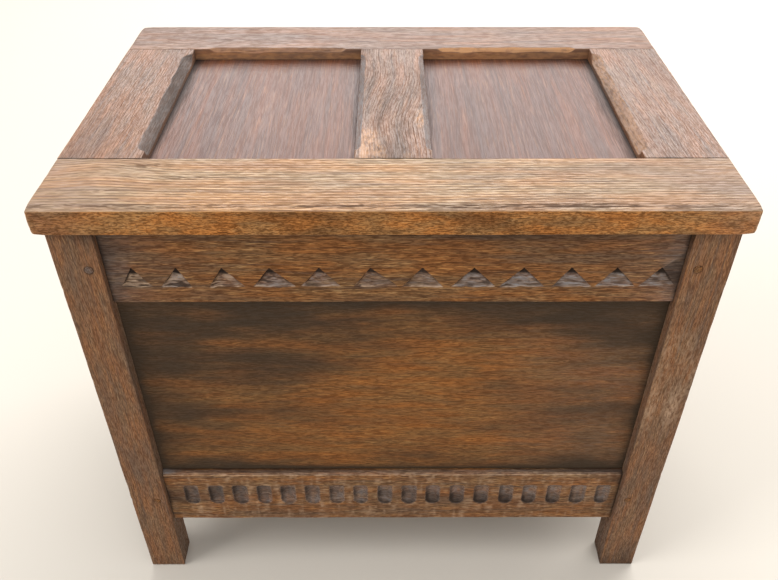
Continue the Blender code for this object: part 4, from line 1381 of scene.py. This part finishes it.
class SLIPPERBOX_OT_panels(Operator):
    """Make the four wall panels"""

    bl_idname = "slipper_box.panels"
    bl_label = "Wall panels"

    def execute(self, context):
        settings = context.scene.slipper_box
        material = oak_material("carcass_panel_oak", settings.carcass_panel)
        for wall in FRONT_BACK + LEFT_RIGHT:
            node = wall + "_panel"
            along = wall_axes(wall)[0]
            face = outer_side(wall)
            panel = Timber(node, *corners(node), grain=along, ease=settings.wear.shoulder, step=0.006)
            panel.pith = (0.02, 0.30)
            tuck = corners(wall_posts(wall)[0])[1][along] - panel.low[along]
            mark_borders(panel, (along, 2), tuck, BORDER_LINES)
            panel.stain(face, self.smudges(panel, along, tuck))
            panel.dusts = [(opposite(face), 0.7)]
            panel.lay(settings, "carcass", "oak_panel", material)
        return {"FINISHED"}

    def smudges(self, panel, along, tuck):
        """Dirt over a panel but for a rubbed patch low in its middle, most at the ends and the top."""
        middle = (panel.low + panel.high) / 2
        half = (panel.high - panel.low) / 2
        spread = np.full(3, 0.030)
        spread[along] = 0.085

        def paint(rest, points):
            ends = np.maximum(half[along] - np.abs(rest[:, along] - middle[along]) - tuck, 0.0)
            upper = np.maximum(panel.high[2] - rest[:, 2] - tuck, 0.0)
            lower = np.maximum(rest[:, 2] - panel.low[2] - tuck, 0.0)
            across = (rest[:, along] - middle[along] - 0.14 * half[along]) / (0.54 * half[along])
            up = (rest[:, 2] - middle[2] + 0.16 * half[2]) / (0.62 * half[2])
            cloud = 0.6 * panel.noise(rest, spread, "panel cloud")
            cloud = cloud + 0.4 * panel.noise(rest, spread / 2.6, "panel smudge")
            dirt = 0.60 - 0.54 * bell(across, 1.0) * bell(up, 1.0) + 0.20 * cloud
            # Darker at the top, the ends and the foot: dirt, and painted shade where the rails and posts
            # stand over the sunk panel
            dirt = dirt + 0.55 * fade(upper, 0.022) + 0.40 * fade(ends, 0.005)
            dirt = dirt + 0.40 * fade(lower, 0.003) + 0.16 * fade(lower, 0.025)
            return {DIRT_AND_PAINTED_SHADE: dirt, DUST_AND_PAINTED_SHEEN: np.clip(0.45 * across - 0.15, 0.0, 0.4)}

        return paint


class SLIPPERBOX_OT_bottom(Operator):
    """Make the bottom board, notched round the posts, and the four cleats under it"""

    bl_idname = "slipper_box.bottom"
    bl_label = "Bottom"

    def execute(self, context):
        settings = context.scene.slipper_box
        material = oak_material("bare_wood", settings.inner)
        self.board(settings).lay(settings, "carcass", "inner_wood", material)
        for wall in FRONT_BACK + LEFT_RIGHT:
            node = wall + "_cleat"
            along = wall_axes(wall)[0]
            cleat = Timber(node, *corners(node), grain=along, ease=settings.wear.arris, step=0.006)
            cleat.lay(settings, "carcass", "inner_wood", material)
        return {"FINISHED"}

    def board(self, settings):
        """Board between the posts from front to back, with a wide tongue between them at both edges."""
        low, high = corners("bottom_board")
        tongue_low, tongue_high = low.copy(), high.copy()
        first, last = corners("front_left_post")[1], corners("back_right_post")[0]
        low[1] = first[1] + FIT
        high[1] = last[1] - FIT
        tongue_low[0] = first[0] + FIT
        tongue_high[0] = last[0] - FIT
        board = Timber("bottom_board", low, high, grain=0, ease=settings.wear.shoulder, step=0.006)
        board.tenons(1, tongue_low, tongue_high)
        for side in SIDES[:4]:
            board.soil(side, reach=0.015, amount=0.7)
        return board


class SLIPPERBOX_OT_pegs(Operator):
    """Make the oak pegs that show in the front and back joints"""

    bl_idname = "slipper_box.pegs"
    bl_label = "Pegs"

    # Rings from the middle of a peg's domed end to its hidden end: share of the radius, and depth
    RINGS = (0.02, 0.3, 0.55, 0.75, 0.88, 0.96, 1.0, 1.0, 0.98, 0.02)
    DEPTHS = np.array((0.0, 0.00002, 0.00008, 0.00016, 0.00026, 0.00042, 0.0008, 0.002, 0.0035, 0.0035))
    TURNS = np.arange(40) * 2.0 * math.pi / 40

    # Height of the log's pith above a peg's middle
    PITH = 0.03

    # Least dirt and dust on a peg, and on the one that has been waxed over
    AGE = (0.18, 0.0)
    WAXED = {"front_left_top_peg": (0.50, 0.45)}

    def execute(self, context):
        for front_back, left_right, level in product(FRONT_BACK, LEFT_RIGHT, LEVELS):
            node = front_back + "_" + left_right + "_" + level + "_peg"
            self.peg(context.scene.slipper_box, node, outer_side(front_back))
        return {"FINISHED"}

    def peg(self, settings, node, side):
        """Riven peg: circles of a slightly lumpy radius carried inwards, closed by a low dome outside."""
        low, high = corners(node)
        middle = (low + high) / 2
        inward = side_parts(side)[1]
        face = low[1] if inward > 0 else high[1]
        ring, turn = np.meshgrid(self.RINGS, self.TURNS, indexing="ij")
        radius = settings.joints.peg_radius + 0.7 * FIT
        radius = radius * ring * (1.0 - 0.05 * np.abs(np.sin(2.5 * turn + seed_of(node))))
        depth = np.broadcast_to(self.DEPTHS[:, None], ring.shape)
        points = np.stack((
            middle[0] + radius * np.cos(turn),
            face + inward * depth,
            middle[2] + radius * np.sin(turn),
        ), axis=-1)
        points[0] = (middle[0], face, middle[2])
        points[-1] = (middle[0], face + inward * self.DEPTHS[-1], middle[2])
        points = points.reshape(-1, 3)
        number = np.arange(ring.size).reshape(ring.shape)
        following = np.roll(number, -1, axis=1)
        quads = np.stack((number[:-1], following[:-1], following[1:], number[1:]), axis=-1)
        quads = quads.reshape(-1, 4)
        if inward < 0:
            quads = quads[:, ::-1]
        soot, dry = self.WAXED.get(node, self.AGE)
        age = np.zeros((*ring.shape, 3))
        age[..., DIRT_AND_PAINTED_SHADE] = np.clip((ring - 0.8) / 0.4, soot, 1.0)
        age[..., DUST_AND_PAINTED_SHEEN] = dry
        grain = points[:, [1, 0, 2]] - (0.0, middle[0], middle[2] + self.PITH)
        fields = {"age": age.reshape(-1, 3), "log_place": grain}
        material = oak_material("carcass_oak", settings.carcass)
        piece = lay_mesh(node + "_end", points, quads, fields, material)
        stand_for(piece, node, "carcass")


# Lid


# Uprights of the lid: lean of the grain, and the panel and the chamfer's age on each side that has one
UPRIGHTS = {
    # Darkening on the chamfers that face right is painted shade
    "lid_left_stile": (0.03, {"+X": ("lid_left_panel", {"soot": 0.54, "dry": 0.62})}),
    "lid_muntin": (0.05, {"-X": ("lid_left_panel", {"soot": 0.0, "dry": 0.92}),
                          "+X": ("lid_right_panel", {"soot": 0.18, "dry": 0.75})}),
    # The right stile's chamfer faces left: its rubbed colour is painted light, over dust
    "lid_right_stile": (-0.05, {"-X": ("lid_right_panel", {"rubbed": 0.50, "dry": 0.30})}),
}

# Bends in the grain: middle along and across the timber, reach and push
FRONT_RAIL_KNOTS = [((-0.235, -0.115), 0.040, -0.009)]
MUNTIN_KNOTS = [((-0.045, 0.004), 0.045, 0.008), ((0.060, -0.012), 0.035, -0.005)]

# Faces whose normals have less than this along Y are the lid's front edge
FRONT_FACING = -0.7

# Dark marks on the top of the lid's front rail: middle and half length
FRONT_RAIL_MARKS = ((-0.205, -0.122, 0.020), (-0.170, -0.139, 0.034), (-0.228, -0.160, 0.016))


class SLIPPERBOX_OT_lid_frame(Operator):
    """Make the lid's rails, stiles and muntin with their joints and stopped chamfers"""

    bl_idname = "slipper_box.lid_frame"
    bl_label = "Lid frame"

    def execute(self, context):
        settings = context.scene.slipper_box
        brown = oak_material("lid_frame_oak", settings.lid_frame)
        front = self.front_rail(settings)
        front = front.lay(settings, "lid", "oak_lid", oak_material("lid_front_oak", settings.lid_front))
        self.finish_edge(front, oak_material("lid_edge_oak", settings.lid_edge))
        self.back_rail(settings).lay(settings, "lid", "oak_lid", brown)
        for node in UPRIGHTS:
            self.upright(settings, node).lay(settings, "lid", "oak_lid", brown)
        return {"FINISHED"}

    def rail(self, settings, node, facing):
        """Rail across the lid, mortised for the uprights and grooved for the panels on one side."""
        wear = settings.wear
        rail = Timber(node, *corners(node), grain=0, ease=wear.arris)
        for upright in UPRIGHTS:
            rail.house(facing, *tenon_box(upright, 2, 0, settings.joints))
        for side in LEFT_RIGHT:
            rail.house(facing, *corners("lid_" + side + "_panel"))
        outer = opposite(facing)
        for side in (outer, "-X", "+X"):
            rail.arris((side, "+Z"), wear.lid_arris, exposure=0.5)
            rail.arris((side, "-Z"), wear.arris, exposure=0.3)
        for side in ("-X", "+X"):
            rail.arris((side, outer), wear.lid_corner, exposure=0.5)
        rail.arris((facing, "+Z"), wear.lid_inner_arris, exposure=0.25)
        rail.arris((facing, "-Z"), wear.lid_inner_arris, exposure=0.05)
        rail.knocked_corners = [
            ((x, rail.plane(outer), z), wear.knock_reach, wear.lid_knock)
            for x in (rail.low[0], rail.high[0]) for z in (rail.low[2], rail.high[2])]
        rail.pith = (0.1592, -0.012)
        rail.soil(facing, reach=0.0012, amount=0.25)
        rail.dusts = [("-Z", 0.4)]
        return rail

    def front_rail(self, settings):
        """Front rail, with a bold figure on top and a mottled front edge."""
        rail = self.rail(settings, "lid_front_rail", "+Y")
        rail.arris(("-Y", "+Z"), settings.wear.lid_arris, exposure=0.30)
        behind_arris = np.arange(0.003, 0.016, 0.0010)
        rail.marks[1].extend(rail.low[1] + behind_arris)
        up_edge = np.arange(rail.low[2], rail.high[2], 0.0008)
        rail.marks[2].extend(up_edge)
        rail.stain("+Z", self.mottled_top(rail))
        rail.stain("-Y", self.mottled_edge(rail))
        rail.knots = FRONT_RAIL_KNOTS
        rail.figure_scale = (1.4, 1.5)
        rail.finer_sides = {"-Y": (3.2, 1.7, 1.7)}
        return rail

    def back_rail(self, settings):
        """Back rail, chamfered over the panels and let in for the hinges."""
        rail = self.rail(settings, "lid_back_rail", "-Y")
        rail.figure_scale = (1.5, 1.8)
        self.chamfer_rail(settings.chamfers, rail)
        self.let_in_hinges(rail)
        rail.stain("-Y", self.rubbed_wall(rail, settings.chamfers.back))
        return rail

    def finish_edge(self, piece, material):
        """Give the faces that look to the front their own material."""
        polygons = piece.data.polygons
        normals = np.empty(3 * len(polygons), np.float32)
        polygons.foreach_get("normal", normals)
        piece.data.materials.append(material)
        faces_front = normals[1::3] < FRONT_FACING
        polygons.foreach_set("material_index", faces_front.astype(np.int32))

    def mottled_top(self, rail):
        """Dark patches just behind the front arris, a few dark marks, and dull ends."""
        def paint(rest, points):
            patches = rail.speckle(rest, (0.008, 0.003, 1.0), "lid patch")
            dirt = 0.62 * bell(rest[:, 1] - rail.low[1] - 0.0070, 0.0042) * (0.30 + 0.70 * patches)
            for x, y, length in FRONT_RAIL_MARKS:
                mark = bell(rest[:, 0] - x, length) * bell(rest[:, 1] - y, 0.0032)
                dirt = np.maximum(dirt, mark * (0.34 + 0.30 * patches))
            # Painted sheen at both ends of the top, laid as pale, cool dust
            dull = 0.75 + 0.5 * rail.noise(rest, (0.025, 0.010, 1.0), "dull end")
            return {DIRT_AND_PAINTED_SHADE: dirt, DUST_AND_PAINTED_SHEEN: 0.55 * bell(rail.from_ends(rest), 0.075) * dull}

        return paint

    def mottled_edge(self, rail):
        """Dark clouds and dashes on the front edge, below its arris, and dull ends."""
        def paint(rest, points):
            below = ramp(rail.high[2] - rest[:, 2], 0.0005, 0.0008)
            dashes = rail.speckle(rest, (0.009, 1.0, 0.0016), "edge dash")
            clouds = rail.speckle(rest, (0.035, 1.0, 0.0080), "edge cloud")
            dirt = below * (0.10 + 0.16 * dashes * clouds + 0.30 * clouds)
            return {DIRT_AND_PAINTED_SHADE: dirt, DUST_AND_PAINTED_SHEEN: 0.30 * bell(rail.from_ends(rest), 0.040)}

        return paint

    def rubbed_wall(self, rail, chamfer):
        """Wear on the wall that stands over the panels, below its chamfer."""
        def paint(rest, points):
            return {WEAR_AND_PAINTED_LIGHT: 0.40 * (rest[:, 2] < rail.high[2] - chamfer - LINE_GAP)}

        return paint

    def upright(self, settings, node):
        """Stile or muntin, tenoned at both ends, grooved and chamfered where a panel meets it."""
        wear, chamfers = settings.wear, settings.chamfers
        lean, panels = UPRIGHTS[node]
        low, high = corners(node)
        low[1] = corners("lid_front_rail")[1][1] + FIT
        high[1] = corners("lid_back_rail")[0][1] - FIT
        upright = Timber(node, low, high, grain=1, ease=wear.arris)
        upright.tenons(1, *tenon_box(node, 2, 0, settings.joints))
        stretch = (low[1] - FIT + chamfers.stop, high[1] + FIT - chamfers.stop)
        leg = chamfers.muntin if node == "lid_muntin" else chamfers.stile
        for side, (panel, age) in panels.items():
            upright.house(side, *corners(panel), whole=(1,))
            upright.chamfer((side, "+Z"), stretch, (leg, leg), chamfers.scoop, chamfers.waver, **age)
            # Painted shade on the side that faces the panel
            upright.soil(side, reach=0.0004, amount=0.30)
        for side in ("-X", "+X"):
            if side not in panels:
                upright.arris((side, "+Z"), wear.lid_arris, exposure=0.5)
        for end in ("-Y", "+Y"):
            for side in ("-X", "+X", "-Z", "+Z"):
                upright.arris((end, side), wear.shoulder, exposure=0.05)
            upright.soil(end, reach=0.0014, amount=0.60)
        upright.pith = (0.09, -0.06)
        upright.lean = lean
        upright.dusts = [("-Z", 0.4)]
        if node == "lid_muntin":
            upright.soil("+Z", reach=1.0, amount=0.36)
            upright.knots = MUNTIN_KNOTS
            upright.stain("+Z", self.rubbed_patches(upright))
        return upright

    def rubbed_patches(self, muntin):
        """Warm, rubbed patches on the front half of the muntin."""
        def paint(rest, points):
            patches = ramp(muntin.noise(rest, (0.012, 0.036, 1.0), "rubbed muntin"), 0.0, 0.5)
            return {WEAR_AND_PAINTED_LIGHT: 0.52 * ramp(0.06 - rest[:, 1], 0.0, 0.10) * patches}

        return paint

    def chamfer_rail(self, chamfers, rail):
        """Stopped chamfers along the back rail, one over each panel, the right one more rubbed."""
        legs = (chamfers.back, chamfers.back)
        spans = (("lid_left_stile", "lid_muntin", 0.34), ("lid_muntin", "lid_right_stile", 0.85))
        for left, right, rubbed in spans:
            stretch = (corners(left)[1][0] + chamfers.stop, corners(right)[0][0] - chamfers.stop)
            waver = 2.5 * chamfers.waver
            rail.chamfer(("-Y", "+Z"), stretch, legs, chamfers.scoop, waver, rubbed=rubbed)

    def let_in_hinges(self, rail):
        """Pockets in the underside of the rail for the hinge leaves."""
        for side in LEFT_RIGHT:
            low, high = corners(side + "_hinge_lid_leaf")
            carcass_leaf = corners(side + "_hinge_carcass_leaf")
            spans = [(low[0] - FIT, high[0] + FIT), (low[1] - FIT, carcass_leaf[1][1] + FIT)]
            rail.sink("-Z", spans, high[2] - rail.low[2] + FIT)


class SLIPPERBOX_OT_lid_panels(Operator):
    """Make the two sunk panels of the lid"""

    bl_idname = "slipper_box.lid_panels"
    bl_label = "Lid panels"

    def execute(self, context):
        settings = context.scene.slipper_box
        material = oak_material("lid_panel_oak", settings.lid_panel)
        tuck = corners("lid_front_rail")[1][1] - corners("lid_left_panel")[0][1]
        for side in LEFT_RIGHT:
            node = "lid_" + side + "_panel"
            panel = Timber(node, *corners(node), grain=1, ease=settings.wear.shoulder)
            panel.pith = (0.02, 0.28)
            panel.figure_scale = (2.6, 1.2)
            mark_borders(panel, (0, 1), tuck, BORDER_LINES[:-1])
            panel.stain("+Z", self.dirty_borders(panel, tuck, outer_side(side)))
            if side == "left":
                panel.stain("+Z", self.pale_streak(panel))
            panel.dusts = [("-Z", 0.6)]
            panel.lay(settings, "lid", "oak_lid_panel", material)
        return {"FINISHED"}

    def dirty_borders(self, panel, tuck, outer):
        """Dirt and old polish round the borders of a panel, widest beside the outer stile."""
        def paint(rest, points):
            away = np.minimum(rest - panel.low, panel.high - rest)[:, :2].min(axis=1) - tuck
            away = np.maximum(away, 0.0)
            beside = np.maximum(panel.inside(rest, outer) - tuck, 0.0)
            # Painted shade with dirt: narrow and wide bands round the borders, and a deeper band beside the
            # outer stile
            dirt = 0.18 * fade(away, 0.0030) + 0.16 * fade(away, 0.010) + 0.55 * fade(beside, 0.013)
            return {DIRT_AND_PAINTED_SHADE: dirt}

        return paint

    def pale_streak(self, panel):
        """One rubbed, paler streak that leans across the middle of a panel and dies away at its ends."""
        middle = (panel.low + panel.high) / 2
        lean = 0.08
        half_width = 0.012
        half_length = 0.075
        to_front = 0.015

        def paint(rest, points):
            along = rest[:, 1] - middle[1] + to_front
            across = rest[:, 0] - middle[0] - lean * along
            streak = bell(across, half_width) * np.exp(-(along / half_length) ** 4)
            fibres = 0.9 + 0.3 * panel.noise(rest, (0.009, 0.050, 1.0), "pale streak")
            return {WEAR_AND_PAINTED_LIGHT: 0.32 * streak * fibres}

        return paint


# Hinges and stage


class SLIPPERBOX_OT_hinges(Operator):
    """Finish the hinge leaves, pins and screws in dull brass"""

    bl_idname = "slipper_box.hinges"
    bl_label = "Hinges"

    def execute(self, context):
        brass = context.scene.slipper_box.brass
        plate = brass_material("dull_brass", brass.bright, brass.dull)
        screw = brass_material("dark_brass", brass.screw_bright, brass.screw_dull)
        for name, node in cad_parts.items():
            if "_hinge_" in name:
                node.data.materials.clear()
                node.data.materials.append(screw if "_screw_" in name else plate)
        return {"FINISHED"}


# Lamps: place, target, width and height, and power in watts
LAMPS = {
    "window": ((-2.1, -0.9, 2.2), (0.0, 0.0, 0.35), (1.3, 1.3), 42.0),
    "overhead": ((0.2, 0.0, 2.6), (0.0, 0.0, 0.4), (2.2, 2.2), 24.0),
    "behind": ((0.8, 2.3, 2.2), (0.0, 0.0, 0.45), (5.0, 1.8), 166.0),
    "front": ((0.5, -2.4, 0.7), (0.0, 0.0, 0.1), (2.6, 1.0), 31.0),
}


class SLIPPERBOX_OT_stage(Operator):
    """Make the plain floor, the soft lights and the camera"""

    bl_idname = "slipper_box.stage"
    bl_label = "Stage"

    def execute(self, context):
        scene = context.scene
        stage = scene.slipper_box.stage
        self.floor(stage)
        self.sky(scene, stage)
        for name, values in LAMPS.items():
            self.lamp(scene, name, *values)
        self.camera(scene, stage)
        scene.view_settings.view_transform = "Standard"
        return {"FINISHED"}

    def floor(self, stage):
        """Flat sheet with no relief, wide enough to fill every view."""
        material, nodes, shader = new_material("floor")
        nodes.feed(shader, {"Base Color": (*stage.floor, 1.0), "Roughness": 0.9})
        square = np.array(((-1.0, -1.0, 0.0), (1.0, -1.0, 0.0), (1.0, 1.0, 0.0), (-1.0, 1.0, 0.0)))
        lay_mesh("floor", stage.floor_reach * square, np.array([(0, 1, 2, 3)]), {}, material)

    def sky(self, scene, stage):
        """Even light from all round."""
        scene.world = bpy.data.worlds.new("sky")
        scene.world.use_nodes = True
        background = scene.world.node_tree.nodes["Background"]
        background.inputs["Color"].default_value = (*stage.sky, 1.0)
        background.inputs["Strength"].default_value = stage.sky_strength

    def lamp(self, scene, name, place, target, spread, power):
        """Soft rectangular lamp at a place, facing a target."""
        lamp = bpy.data.lights.new(name, "AREA")
        lamp.shape = "RECTANGLE"
        lamp.size, lamp.size_y = spread
        lamp.energy = power
        look = np.array(target) - np.array(place)
        tilt = math.atan2(look[2], math.hypot(look[0], look[1]))
        turn = math.atan2(look[1], look[0])
        holder = bpy.data.objects.new(name, lamp)
        holder.location = place
        holder.rotation_euler = (math.pi / 2 + tilt, 0.0, turn - math.pi / 2)
        holder.visible_camera = False
        scene.collection.objects.link(holder)

    def camera(self, scene, stage):
        """Camera at the angle that the box is usually photographed from."""
        lens = bpy.data.cameras.new("camera")
        lens.lens = stage.camera_lens
        holder = bpy.data.objects.new("camera", lens)
        holder.location = stage.camera_place
        holder.rotation_euler = (math.pi / 2 - stage.camera_tilt, 0.0, -stage.camera_turn)
        scene.collection.objects.link(holder)
        scene.camera = holder


# Add-on


OPERATORS = (
    SLIPPERBOX_OT_posts,
    SLIPPERBOX_OT_rails,
    SLIPPERBOX_OT_chip_rail,
    SLIPPERBOX_OT_flute_rail,
    SLIPPERBOX_OT_panels,
    SLIPPERBOX_OT_bottom,
    SLIPPERBOX_OT_pegs,
    SLIPPERBOX_OT_lid_frame,
    SLIPPERBOX_OT_lid_panels,
    SLIPPERBOX_OT_hinges,
    SLIPPERBOX_OT_stage,
)


class SLIPPERBOX_PT_finish(Panel):
    """Sidebar panel that lists the pieces and their settings"""

    bl_label = "Slipper Box"
    bl_idname = "SLIPPERBOX_PT_finish"
    bl_space_type = "VIEW_3D"
    bl_region_type = "UI"
    bl_category = "Slipper Box"

    def draw(self, context):
        layout = self.layout
        for operator in OPERATORS:
            layout.operator(operator.bl_idname)
        for key in SETTING_GROUPS:
            group = getattr(context.scene.slipper_box, key)
            box = layout.box()
            box.label(text=key.replace("_", " ").capitalize())
            for name in group.__annotations__:
                box.prop(group, name)


CLASSES = (*SETTING_GROUPS.values(), SlipperBoxSettings, *OPERATORS, SLIPPERBOX_PT_finish)


def register():
    """Register the classes and hang the settings on the scene."""
    for cls in CLASSES:
        bpy.utils.register_class(cls)
    bpy.types.Scene.slipper_box = PointerProperty(type=SlipperBoxSettings)


def unregister():
    """Take the settings and the classes away again."""
    del bpy.types.Scene.slipper_box
    for cls in reversed(CLASSES):
        bpy.utils.unregister_class(cls)


def main():
    """Make every piece and the stage, and write the boxes of the frame and of the finished object."""
    register()
    for operator in OPERATORS:
        group, name = operator.bl_idname.split(".")
        getattr(getattr(bpy.ops, group), name)()


if __name__ == "__main__":
    main()
